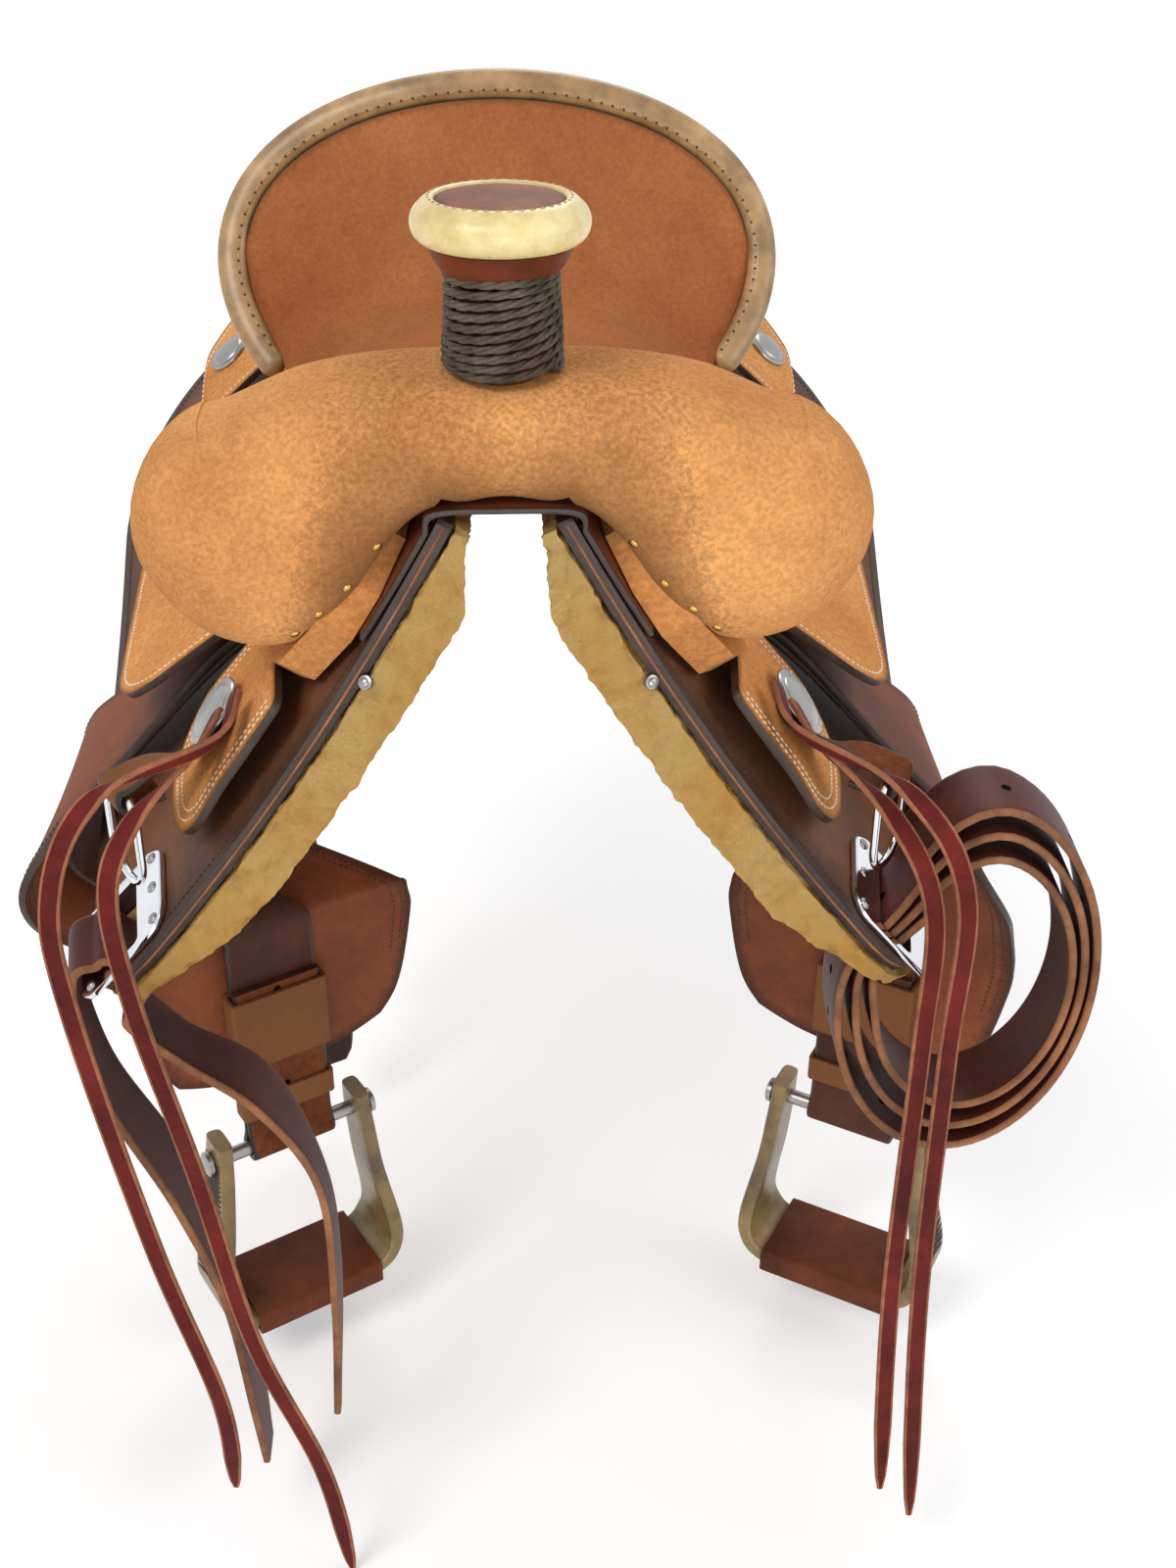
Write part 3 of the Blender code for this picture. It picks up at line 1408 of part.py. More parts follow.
def build():
    root = bpy.data.objects.new("saddle", None)
    bpy.context.scene.collection.objects.link(root)
    root.location = SWELL_PLACE

    roughout = finish("roughout_leather", (0.62, 0.33, 0.13), 0.9)
    tan = finish("tan_leather", (0.50, 0.24, 0.09), 0.55)
    suede = finish("seat_suede", (0.42, 0.16, 0.06), 0.9)
    brown = finish("brown_leather", (0.20, 0.07, 0.035), 0.4)
    dark = finish("latigo_leather", (0.10, 0.03, 0.028), 0.5)
    black = finish("dark_leather", (0.035, 0.02, 0.015), 0.45)
    wood = finish("tree_wood", (0.55, 0.40, 0.24), 0.6)
    wool = finish("sheepskin", (0.80, 0.55, 0.20), 0.95)
    rawhide = finish("rawhide", (0.62, 0.52, 0.30), 0.4)
    steel = finish("steel", (0.5, 0.5, 0.5), 0.35, 1.0)
    chrome = finish("chrome", (0.8, 0.8, 0.8), 0.12, 1.0)
    cord = finish("wrap_cord", (0.06, 0.05, 0.04), 0.8)
    burgundy = finish("string_leather", (0.16, 0.03, 0.03), 0.45)
    fender = finish("fender_leather", (0.45, 0.19, 0.07), 0.7)

    make_skirts(root, black, wool, chrome)
    make_tree(root, wood, roughout, brown)
    make_horn(root, brown, rawhide, cord)
    make_seat(root, suede, tan, wood, brown, rawhide)
    make_jockeys(root, tan)
    make_conchos(root, steel, tan)
    make_strings(root, burgundy)
    coil_place = back(1, STRAP_Y, (SLOT_TOP + SLOT_DROP) / 2, -SKIRT_THICK)
    make_latigo(stand_at("coil_stand", root, coil_place), dark)
    make_billets(root, dark, black)
    kit = {"dark": dark, "tan": tan, "fender": fender, "rawhide": rawhide, "steel": steel}
    for side, word in SIDES.items():
        make_stirrup_side(root, side, word, kit)


for item in list(bpy.data.objects):
    bpy.data.objects.remove(item, do_unlink=True)
build()
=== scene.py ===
"""The ranch saddle's looks: fine leather, wool, rope and metal laid over its measured frame.

Metres. The shapes are told from the line through the swell's two widest points, as the part's are:
+X to the near side, +Y to the rear, +Z up. SWELL_PLACE moves them into the finished frame.
"""

import math

import bmesh
import bpy
from mathutils import Matrix, Vector, kdtree, noise


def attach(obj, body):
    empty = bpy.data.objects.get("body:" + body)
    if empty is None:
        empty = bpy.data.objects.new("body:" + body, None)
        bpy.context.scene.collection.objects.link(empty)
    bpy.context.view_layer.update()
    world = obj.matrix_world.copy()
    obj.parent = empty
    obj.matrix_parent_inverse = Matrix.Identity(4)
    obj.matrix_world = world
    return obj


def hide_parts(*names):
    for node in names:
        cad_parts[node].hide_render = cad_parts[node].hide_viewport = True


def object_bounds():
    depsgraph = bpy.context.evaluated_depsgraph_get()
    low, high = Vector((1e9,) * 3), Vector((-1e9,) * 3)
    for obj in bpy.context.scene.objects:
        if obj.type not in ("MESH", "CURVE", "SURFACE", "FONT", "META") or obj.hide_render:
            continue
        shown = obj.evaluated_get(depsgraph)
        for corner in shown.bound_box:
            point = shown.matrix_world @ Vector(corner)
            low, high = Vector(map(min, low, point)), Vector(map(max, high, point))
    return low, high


SWELL_PLACE = Vector((0.0, -0.200, 0.050))
GAP = 0.0003
LAYER_GAP = 0.0006
SWING_GAP = 0.0005
FOLD_GAP = 0.0009
RIDGE_HALF = 0.031
RIDGE_TOP = -0.003
RIDGE_DROP = 0.047
RIDGE_DROP_START = -0.020
RIDGE_DROP_END = 0.380
RIDGE_REAR_RISE = 0.012
SLOPE_FRONT = math.radians(54.5)
SLOPE_REAR = math.radians(34.5)
BEND_FRONT = math.radians(-7.0)
BEND_REAR = math.radians(10.0)
SKIRT_FRONT = -0.020
SKIRT_REAR = 0.585
SKIRT_DROP = 0.333
SKIRT_REAR_DROP = 0.300
SKIRT_REAR_TOP = -0.020
SKIRT_LEAN = -0.055
SKIRT_FRONT_CORNER = 0.045
SKIRT_REAR_CORNER = 0.130
SKIRT_THICK = 0.008
FLEECE_THICK = 0.026
FLEECE_MARGIN = 0.003
FLEECE_THIN = 0.35
FADE_HEIGHT = 0.098
FADE_SPAN = 0.075
FADE_REAR = 0.075
FADE_DEPTH = 0.060
FADE_RIDGE = 0.045
BAR_SEAT = 0.0048
BAR_THICK = 0.020
BAR_FRONT = -0.016
BAR_REAR = 0.472
BAR_TOP = 0.020
BAR_DROP = 0.128
SWELL_DEPTH = 0.049
SWELL_MIDDLE = 0.020
SWELL_FULL = 2.6
LINING_THICK = 0.0030
LINING_DEPTH = 0.064
LINING_EDGE = 0.008
LINING_DROP = 0.072
LINING_SQUARE = 5.0
HORN_FOOT = Vector((0.0, 0.019, 0.048))
HORN_LEAN = math.radians(13.5)
HORN_CAP_LEAN = math.radians(4.0)
HORN_NECK_RADIUS = 0.0205
HORN_FOOT_FLARE = 0.0035
HORN_NECK_HEIGHT = 0.056
HORN_CAP_RADIUS = 0.040
HORN_CAP_THICK = 0.020
HORN_DISC_RADIUS = 0.0285
HORN_CONE_HEIGHT = 0.015
WRAP_CORD = 0.0042
WRAP_PITCH = 0.0048
WRAP_LEAN = math.radians(9.0)
SEAT_LIFT = 0.036
SEAT_THICK = 0.005
GROUND_THICK = 0.0045
GROUND_SPAN = 0.55
RIM_HALF_WIDTH = 0.171
RIM_HEIGHT = 0.101
RIM_MIDDLE = Vector((0.0, 0.406, -0.017))
RIM_SWEEP = math.radians(125.0)
RIM_LEAN = 0.65
RIM_CURL = 3.4
BINDING_WIDTH = 0.019
BINDING_THICK = 0.013
CANTLE_FOCUS = Vector((0.0, 0.387, -0.008))
CANTLE_BASE_Y = 0.462
CANTLE_SIDE_Y = 0.425
CANTLE_KNEE = 0.22
CANTLE_SPAN = 0.91
CANTLE_CREST = 0.0100
CANTLE_BACK_THICK = 0.004
JOCKEY_THICK = 0.0045
FRONT_JOCKEY_LIFT = 0.0143
FRONT_JOCKEY_FRONT = -0.005
FRONT_JOCKEY_REAR = 0.088
FRONT_JOCKEY_TOP = 0.1286
FRONT_JOCKEY_DROP = 0.236
SIDE_JOCKEY_FRONT = 0.092
SIDE_JOCKEY_REAR = 0.400
SIDE_JOCKEY_LIFT = 0.0254
SIDE_JOCKEY_FLARE = 0.016
SIDE_JOCKEY_DROP = 0.246
REAR_JOCKEY_FRONT = 0.480
REAR_JOCKEY_REAR = 0.572
REAR_JOCKEY_DROP = 0.228
REAR_JOCKEY_LEAN = -0.20
PLATE_THICK = 0.003
PLATE_FRONT = -0.031
PLATE_REAR = 0.034
PLATE_HEAD = 0.022
PLATE_FOOT = 0.0225
SLOT_RAISE = 0.021
SLOT_HEIGHT = 0.028
SLOT_FRONT = -0.0265
SLOT_REAR = 0.0245
SLOT_DROP = SKIRT_DROP - SLOT_RAISE
SLOT_TOP = SLOT_DROP - SLOT_HEIGHT
SLOT_MARGIN = 0.0030
PLATE_TOP = SLOT_TOP - PLATE_HEAD
PLATE_DROP = SLOT_DROP + PLATE_FOOT
STRAP_WIDTH = 0.045
STRAP_THICK = 0.0045
STRAP_Y = -0.0015
COIL_MIDDLE = Vector((0.243, STRAP_Y, -0.287))
COIL_OUTER = (0.075, 0.121)
COIL_INNER = (0.050, 0.075)
COIL_SHIFT = 0.006
COIL_SWEEP = math.radians(1075.0)
COIL_START = math.radians(-25.0)
COIL_STACK = 0.0062
COIL_PINCH = math.radians(62.0)
CONCHO_RADIUS = 0.020
CONCHO_THICK = 0.003
CONCHO_Y = 0.038
CONCHO_DOWN = 0.178
REAR_CONCHO_RADIUS = 0.016
REAR_CONCHO_Y = 0.500
REAR_CONCHO_DOWN = 0.170
DEE_STRAP_THICK = 0.0035
DEE_STRAP_WIDTH = 0.024
DEE_BAR = Vector((0.197, -0.006, -0.157))
DEE_YAW = math.radians(58.0)
DEE_WIDTH = 0.042
DEE_HEIGHT = 0.058
DEE_CORNER = 0.009
DEE_WIRE = 0.005
HANG_Y = 0.150
HANG_DOWN = 0.1345
HANG_LIFT = 0.012
HANG_CLEARANCE = 0.0009
HANG_WIDTH = 0.040
LEATHER_WIDTH = 0.060
LEATHER_THICK = 0.0045
STRAND_GAP = 0.0008
FENDER_THICK = 0.0045
FENDER_FOOT = 0.050
FENDER_FRONT = 0.090
FENDER_REAR = 0.105
LEATHER_YAW = math.radians(30.0)
STRAIGHT_TOP = -0.380
BOLT_Z = -0.536
BOLT_RADIUS = 0.005
NEAR_BOLT_X = 0.232
OFF_BOLT_X = -0.152
BOLT_X = {1: NEAR_BOLT_X, -1: OFF_BOLT_X}
BOLT_Y = 0.152
SLEEVE_TOP = -0.410
SLEEVE_HEIGHT = 0.055
SLEEVE_WALL = 0.003
HOBBLE_TOP = -0.490
HOBBLE_HEIGHT = 0.018
HOBBLE_WALL = 0.0025
BOW_HEIGHT = 0.134
BOW_TOP_HALF = 0.050
BOW_FOOT_HALF = 0.064
BOW_THICK = 0.011
BOW_TOP_DEPTH = 0.030
BOW_FOOT_DEPTH = 0.056
TREAD_WALL = 0.0035
TREAD_SPAN = 0.094
REAR_BILLET_Y = 0.360
REAR_BILLET_DOWN = 0.262
STRING_WIDTH = 0.011
STRING_THICK = 0.003


def smooth(t):
    """An even start and stop between 0 and 1."""
    t = min(max(t, 0.0), 1.0)
    return t * t * (3.0 - 2.0 * t)


def mix(a, b, t):
    """The value this share t of the way from a to b."""
    return a + (b - a) * t


def curve_at(points, t):
    """The point at t, from 0 to 1, on a smooth curve through the points."""
    last = len(points) - 1
    place = min(max(t, 0.0), 1.0) * last
    i = min(int(place), last - 1)
    f = place - i
    a = points[i]
    b = points[i + 1]
    before = points[i - 1] if i > 0 else a * 2.0 - b
    after = points[i + 2] if i + 2 <= last else b * 2.0 - a
    return (
        a * 2.0
        + (b - before) * f
        + (before * 2.0 - a * 5.0 + b * 4.0 - after) * f ** 2
        + (a * 3.0 - before - b * 3.0 + after) * f ** 3
    ) * 0.5


def ridge_height(y):
    """The back's ridge line: it drops behind the withers and rises at the loin."""
    drop = smooth((y - RIDGE_DROP_START) / (RIDGE_DROP_END - RIDGE_DROP_START))
    rise = smooth((y - RIDGE_DROP_END) / (SKIRT_REAR - RIDGE_DROP_END))
    return RIDGE_TOP - RIDGE_DROP * drop + RIDGE_REAR_RISE * rise


def back_line(y, down):
    """The near side of the back, this far down from the ridge."""
    rear = (y - SKIRT_FRONT) / (SKIRT_REAR - SKIRT_FRONT)
    angle = mix(SLOPE_FRONT, SLOPE_REAR, rear)
    angle += mix(BEND_FRONT, BEND_REAR, rear) * (down / SKIRT_DROP - 1.0)
    x = RIDGE_HALF + down * math.cos(angle)
    return Vector((x, y, ridge_height(y) - down * math.sin(angle)))


def back_normal(y, down):
    """The way out of the back's near side here."""
    step = 0.002
    along = back_line(y + step, down) - back_line(y - step, down)
    across = back_line(y, down + step) - back_line(y, down - step)
    return across.cross(along).normalized()


def back(side, y, down, lift=0.0):
    """A point on the back, this far down from the ridge and lifted off along its normal."""
    here = back_line(y, down) + back_normal(y, down) * lift
    return Vector((here.x * side, here.y, here.z))


def back_run(side, y, down):
    """The direction towards the rear along the back here."""
    run = (back_line(y + 0.01, down) - back_line(y - 0.01, down)).normalized()
    return Vector((run.x * side, run.y, run.z))


def panel(front, rear, top, bottom, corners, leans=(0.0, 0.0)):
    """A leather outline on the back: spot(s, t) gives (y, down). Corners: front top, front
    bottom, rear top and rear bottom. Leans shift the front and rear edges as they go down."""

    def rounding(distance, radius):
        if distance >= radius:
            return 0.0
        return radius - math.sqrt(max(radius ** 2 - (radius - distance) ** 2, 0.0))

    def spot(s, t):
        eased = mix(s, 0.5 - 0.5 * math.cos(math.pi * s), 0.6)
        y = mix(front, rear, eased)
        high = top(y) if callable(top) else mix(top[0], top[1], eased)
        high += rounding(y - front, corners[0]) + rounding(rear - y, corners[2])
        low = mix(bottom[0], bottom[1], eased)
        low -= rounding(y - front, corners[1]) + rounding(rear - y, corners[3])
        down = mix(high, low, t)
        return y + mix(leans[0], leans[1], eased) * down, down

    return spot


def laid(side, outline, lift, thick):
    """A place for sheet(): the outline laid on the back, with lift and thickness there."""

    def spot(s, t, face):
        y, down = outline(s, t)
        low = lift(y, down) if callable(lift) else lift
        return back(side, y, down, low + thick * face)

    return spot


SIDES = {1: "near", -1: "off"}


def skirt_top(y):
    """Where the skirt's upper edge lies: the rear corners lap over the ridge."""
    return SKIRT_REAR_TOP * smooth((y - 0.42) / 0.13)


def skirt_outline(margin):
    """The skirt's shape, this much larger all round."""
    return panel(
        SKIRT_FRONT - margin,
        SKIRT_REAR + margin,
        skirt_top,
        (SKIRT_DROP + margin, SKIRT_REAR_DROP + margin),
        (0.002, SKIRT_FRONT_CORNER, 0.030, SKIRT_REAR_CORNER),
        (SKIRT_LEAN, 0.0),
    )


def fleece_under(y, down):
    """How far the sheepskin's lower face lies below the skirt's upper one."""
    corner = smooth((down - SKIRT_DROP + FADE_HEIGHT) / FADE_SPAN)
    corner *= smooth((FADE_REAR - y) / FADE_DEPTH)
    ridge = 1.0 - smooth((down - skirt_top(y)) / FADE_RIDGE)
    deep = FLEECE_THICK * mix(1.0, FLEECE_THIN, max(corner, ridge))
    return -SKIRT_THICK - LAYER_GAP - deep


def swell_path(t):
    """The swell's middle line from the off lobe to the near lobe, as x, z and radius."""
    half = (
        Vector((0.0, 0.029, 0.028)),
        Vector((0.043, 0.025, 0.033)),
        Vector((0.076, 0.011, 0.045)),
        Vector((0.105, -0.012, 0.057)),
        Vector((0.118, -0.020, 0.060)),
    )
    side = 1.0 if t >= 0 else -1.0
    if abs(t) < 0.125:
        points = (Vector((-0.043, 0.025, 0.033)), half[0], half[1])
        here = curve_at(points, 0.5 + 0.5 * abs(t) * 4.0)
    else:
        here = curve_at(half, abs(t))
    return Vector((here.x * side, here.y, here.z))


def swell_form(shrink, body, cap, around):
    """The swell: rings along its middle line, closed by a round end at each lobe."""

    def spot(s, t):
        place = s * (body + 2 * cap) - cap
        inside = min(max(place / body, 0.0), 1.0) * 2.0 - 1.0
        here = swell_path(inside)
        ahead = swell_path(inside + 0.01) - swell_path(inside - 0.01)
        if abs(inside) == 1.0:
            ahead = Vector((0.85, -0.52 * inside, 0.0))
        run = Vector((ahead.x, ahead.y)).normalized()
        up = Vector((-run.y, run.x))
        beyond = max(-place, place - body, 0.0) / cap * math.pi / 2.0
        radius = here.z - shrink
        reach = radius * math.sin(beyond) * (1.0 if inside > 0 else -1.0)
        turn = math.tau * t
        full = 2.0 / SWELL_FULL
        high = math.copysign(abs(math.sin(turn)) ** full, math.sin(turn)) * math.cos(beyond)
        deep = math.copysign(abs(math.cos(turn)) ** full, math.cos(turn)) * math.cos(beyond)
        x = here.x + up.x * radius * high + run.x * reach
        z = here.y + up.y * radius * high + run.y * reach
        return Vector((x, SWELL_MIDDLE + (SWELL_DEPTH - shrink) * deep, z))

    return tube(spot, body + 2 * cap, around)


def bar_outline(margin):
    """The tree bar's shape, this much larger all round."""
    return panel(
        BAR_FRONT - margin,
        BAR_REAR + margin,
        (BAR_TOP - margin, BAR_TOP - margin),
        (BAR_DROP + margin, BAR_DROP + margin),
        (0.030, 0.050, 0.040, 0.060),
    )


def lining_point(reach, y, lift):
    """A point on the gullet's arch: reach runs from the off end at -1 to the near end at 1."""
    side = 1.0 if reach >= 0 else -1.0
    flat = 0.5
    if abs(reach) > flat:
        down = mix(LINING_EDGE, LINING_DROP, (abs(reach) - flat) / (1.0 - flat))
        return back(side, y, down, lift)
    edge = back(1, y, LINING_EDGE, lift)
    crown = ridge_height(y) + 0.002 + lift
    angle = abs(reach) / flat * math.pi / 2
    x = edge.x * math.sin(angle) ** (2.0 / LINING_SQUARE)
    z = crown - (crown - edge.z) * (1.0 - math.cos(angle) ** (2.0 / LINING_SQUARE))
    return Vector((x * side, y, z))


def rim_at(u):
    """The cantle's rim, from its off end at -1 over the top to its near end at 1."""
    angle = math.pi / 2 - u * RIM_SWEEP
    rise = RIM_HEIGHT * math.sin(angle)
    x = RIM_HALF_WIDTH * math.cos(angle)
    return RIM_MIDDLE + Vector((x, RIM_LEAN * rise - RIM_CURL * rise * rise, rise))


def rim_frame(u):
    """The rim's place, its run, the way in over the seat's face, and the face's own way."""
    here = rim_at(u)
    ahead = (rim_at(u + 0.01) - rim_at(u - 0.01)).normalized()
    inward = CANTLE_FOCUS - here
    inward = (inward - ahead * inward.dot(ahead)).normalized()
    return here, ahead, inward, inward.cross(ahead).normalized()


SEAT_ROWS = (
    # y, height at the middle, how far down the back the edge lies, how square the middle is
    (0.078, 0.034, 0.058, 2.2),
    (0.150, 0.010, 0.082, 2.2),
    (0.230, -0.013, 0.094, 2.6),
    (0.300, -0.024, 0.108, 3.0),
)


FOOT_V = len(SEAT_ROWS) / (len(SEAT_ROWS) + 2)
SEAT_SOUND = 0.76
SEAT_EAR = 0.31
SEAT_EAR_START = 0.66


def seat_row(row, u):
    """One row across the seat, from its off edge at -1 to its near edge at 1."""
    y, middle, down, square = row
    edge = back(1, y, down, SEAT_LIFT)
    height = mix(middle, edge.z, abs(u) ** square)
    return Vector((edge.x * u, y, height))


def seat_rim(u):
    """The seat leather's end under the binding's inner side."""
    here, _, inward, face = rim_frame(u)
    return here + inward * (BINDING_WIDTH / 2 + 2 * GAP) + face * (BINDING_THICK / 2 - 0.0025)


def seat_point(u, v):
    """The seat's upper face: u across, v from the fork (0) to the cantle's rim (1)."""
    rows = [seat_row(row, u) for row in SEAT_ROWS]
    rim = seat_rim(u)
    end = seat_rim(1.0)
    foot_y = mix(0.366, end.y - 0.026, abs(u) ** 2.4)
    foot_z = mix(-0.016, end.z - 0.012, abs(u) ** 2.6)
    foot = Vector((end.x * 1.015 * u, foot_y, foot_z))
    middle = mix(foot, rim, 0.5) + Vector((0.0, 0.006, -0.010)) * (1.0 - abs(u) ** 3)
    middle.x = mix(foot.x, rim.x, 0.62)
    rows += [foot, middle, rim]
    return curve_at(rows, v)


def seat_normal(u, v):
    """The way out of the seat's face; near the edges the way further in is kept."""
    step = 0.08
    u = min(max(u, -SEAT_SOUND), SEAT_SOUND)
    low = max(v - step, 0.0)
    high = min(v + step, 1.0)
    left = max(u - step, -1.0)
    right = min(u + step, 1.0)
    along = seat_point(u, high) - seat_point(u, low)
    across = seat_point(right, v) - seat_point(left, v)
    return across.cross(along).normalized()


def seat_end(u):
    """Where the seat leather ends: at the rim, but its ears stop short of the rim's ends."""
    return 1.0 - SEAT_EAR * smooth((abs(u) - SEAT_EAR_START) / (1.0 - SEAT_EAR_START))


def seat_sheet(depth, thick, span, start, end):
    """A layer of the seat: this deep under its face and this thick."""

    def spot(s, t, face):
        u = (2.0 * t - 1.0) * span
        v = mix(start, min(end, seat_end(u)), s)
        return seat_point(u, v) - seat_normal(u, v) * (depth + thick * (1 - face))

    return spot


def cantle_rear(u, t):
    """The cantle core's rear face, from its foot on the bars (0) to its crest (1)."""
    face = rim_frame(u)[3]
    crest = seat_rim(u) - face * (SEAT_THICK + LAYER_GAP + mix(CANTLE_CREST, 0.007, abs(u) ** 3))
    side = 1.0 if u >= 0 else -1.0
    y = mix(CANTLE_BASE_Y, CANTLE_SIDE_Y, abs(u) ** 2.5)
    lift = BAR_SEAT + BAR_THICK + LAYER_GAP
    beyond = max(abs(u) - CANTLE_KNEE, 0.0) / (CANTLE_SPAN - CANTLE_KNEE)
    foot = back(side, y, mix(BAR_TOP - 0.004, 0.118, beyond), lift)
    foot.x *= min(abs(u) / CANTLE_KNEE, 1.0)
    return mix(foot, crest, t)


def front_lift(_, down):
    """The front jockey's height over the back: it drops to the skirt below its concho."""
    return mix(FRONT_JOCKEY_LIFT, 0.008, smooth((down - CONCHO_DOWN) / 0.07))


def rear_lift(_, down):
    """The rear jockey's height over the back: over the bar, then down on the skirt."""
    high = BAR_SEAT + BAR_THICK + LAYER_GAP
    return mix(high, LAYER_GAP, smooth((down - 0.188) / 0.040))


def coil_point(turn):
    """The latigo's middle at this angle: a drawn-in spiral whose turns meet in the slot."""
    slot = back(1, STRAP_Y, (SLOT_TOP + SLOT_DROP) / 2, -SKIRT_THICK)
    toward = math.atan2(slot.z - COIL_MIDDLE.z, slot.x - COIL_MIDDLE.x)
    reach = math.hypot(slot.z - COIL_MIDDLE.z, slot.x - COIL_MIDDLE.x)
    share = min(max((turn - COIL_START) / COIL_SWEEP, 0.0), 1.0)
    shift = Vector((COIL_SHIFT * (1.0 - share), 0.0, 0.0))
    wide = mix(COIL_INNER[0], COIL_OUTER[0], share)
    high = mix(COIL_INNER[1], COIL_OUTER[1], share)
    angle = toward + turn
    free = wide * high / math.hypot(high * math.cos(angle), wide * math.sin(angle))
    layer = turn / math.tau - 1.0
    held = reach + COIL_STACK * layer
    off = abs((turn + math.pi) % math.tau - math.pi)
    radius = mix(free, held, smooth(1.0 - off / COIL_PINCH))
    shift *= 1.0 - smooth(1.0 - off / COIL_PINCH)
    return COIL_MIDDLE + shift + Vector((radius * math.cos(angle), 0.0, radius * math.sin(angle)))


STRING_ROUTES = {
    "string_near_inner": (
        (0.1460, 0.014, -0.1238),
        (0.1574, -0.014, -0.1339),
        (0.190, -0.044, -0.156),
        (0.213, -0.058, -0.205),
        (0.215, -0.060, -0.300),
        (0.216, -0.060, -0.480),
        (0.225, -0.060, -0.653),
    ),
    "string_near_outer": (
        (0.1365, 0.014, -0.114),
        (0.1462, -0.0165, -0.1238),
        (0.198, -0.047, -0.142),
        (0.228, -0.060, -0.195),
        (0.229, -0.062, -0.300),
        (0.233, -0.060, -0.480),
        (0.246, -0.060, -0.680),
    ),
    "string_off_inner": (
        (-0.1465, 0.014, -0.1235),
        (-0.1578, -0.014, -0.1337),
        (-0.184, -0.046, -0.150),
        (-0.198, -0.058, -0.185),
        (-0.193, -0.060, -0.255),
        (-0.173, -0.060, -0.371),
        (-0.153, -0.060, -0.504),
        (-0.121, -0.060, -0.618),
        (-0.108, -0.060, -0.715),
    ),
    "string_off_outer": (
        (-0.1365, 0.014, -0.114),
        (-0.1460, -0.0165, -0.1232),
        (-0.201, -0.046, -0.136),
        (-0.226, -0.058, -0.185),
        (-0.225, -0.060, -0.260),
        (-0.201, -0.060, -0.430),
        (-0.177, -0.060, -0.553),
        (-0.177, -0.048, -0.646),
    ),
    "rear_string_near": (
        (0.1922, 0.409, -0.2281),
        (0.1965, 0.405, -0.270),
        (0.197, 0.401, -0.380),
        (0.202, 0.400, -0.496),
        (0.222, 0.400, -0.580),
    ),
    "rear_string_off": (
        (-0.1724, 0.4598, -0.1958),
        (-0.1718, 0.456, -0.240),
        (-0.168, 0.450, -0.360),
        (-0.160, 0.450, -0.485),
        (-0.139, 0.450, -0.622),
    ),
}


def yaw_way(side, yaw):
    """The strap's width direction once it has turned to this yaw: its front edge leads out."""
    return Vector((math.cos(yaw) * side, -math.sin(yaw), 0.0))


def out_way(side, yaw):
    """The way out of the strap's face at this yaw."""
    return Vector((math.sin(yaw) * side, math.cos(yaw), 0.0))


def hang_point(side):
    """The fender's pivot, where its leather comes out on the skirt from under the bar."""
    return back(side, HANG_Y, HANG_DOWN, LEATHER_THICK / 2 + HANG_CLEARANCE)


def leather_route(side):
    """The stirrup leather's middle line from the bar to the bolt, with its yaw at each point."""
    straight_x = BOLT_X[side] + 0.001 * side
    bolt = Vector((BOLT_X[side], BOLT_Y, BOLT_Z))
    edge = back(side, HANG_Y, 0.318, HANG_LIFT)
    bulge = Vector((edge.x + 0.004 * side, BOLT_Y - 0.001, edge.z - 0.040))
    top = Vector((straight_x, BOLT_Y, STRAIGHT_TOP))
    between = Vector((mix(bulge.x, top.x, 0.50), BOLT_Y, mix(bulge.z, top.z, 0.44)))
    above = Vector((mix(bulge.x, top.x, 0.955), BOLT_Y, mix(bulge.z, top.z, 0.76)))
    points = [
        hang_point(side),
        back(side, HANG_Y, 0.190, HANG_LIFT - 0.001),
        back(side, HANG_Y, 0.256, HANG_LIFT),
        edge,
        bulge,
        between,
        above,
        top,
        mix(top, bolt, 0.155),
        mix(top, bolt, 0.48),
        mix(top, bolt, 0.85),
    ]
    yaws = [90.0, 90.0, 90.0, 90.0, 76.0, 51.0, 33.5, 30.0, 30.0, 30.0, 30.0]
    return points, [math.radians(yaw) for yaw in yaws]


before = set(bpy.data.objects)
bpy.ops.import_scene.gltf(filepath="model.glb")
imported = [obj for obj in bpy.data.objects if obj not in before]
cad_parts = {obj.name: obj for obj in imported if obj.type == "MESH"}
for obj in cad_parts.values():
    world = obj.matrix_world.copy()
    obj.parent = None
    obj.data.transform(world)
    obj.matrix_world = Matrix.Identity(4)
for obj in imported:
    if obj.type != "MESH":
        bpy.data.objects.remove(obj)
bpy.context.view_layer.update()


# Camera, lights and floor

CAMERA_PLACE = (-0.0034, -1.0453, 0.4342)
CAMERA_YAW = math.radians(2.96)
CAMERA_PITCH = math.radians(32.831)
CAMERA_ROLL = math.radians(0.56)
PICTURE_HEIGHT_MM = 36.0
LENS_MM = 45.0
NEAREST_SEEN = 0.05
LAMPS = (
    # name, place, aim, width, watts, tint
    ("key lamp", (-1.5, -1.7, 2.3), (0.0, 0.0, 0.0), 1.5, 46.0, (1.0, 0.98, 0.95)),
    ("side lamp", (2.3, -0.9, 1.1), (0.0, 0.0, -0.1), 1.7, 16.0, (0.97, 0.98, 1.0)),
    ("rear lamp", (0.4, 2.3, 1.9), (0.0, 0.1, 0.0), 1.7, 26.0, (1.0, 1.0, 1.0)),
    ("low lamp", (0.2, -2.6, -0.1), (0.0, 0.0, -0.1), 1.6, 23.0, (1.0, 1.0, 1.0)),
)
SKY_TINT = (0.93, 0.95, 1.0, 1.0)
SKY_LIGHT = 0.60
SKY_SEEN = 0.95
FLOOR_PAINT = (0.86, 0.86, 0.85, 1.0)
FLOOR_REACH = 60.0
FLOOR_GAP = 0.002
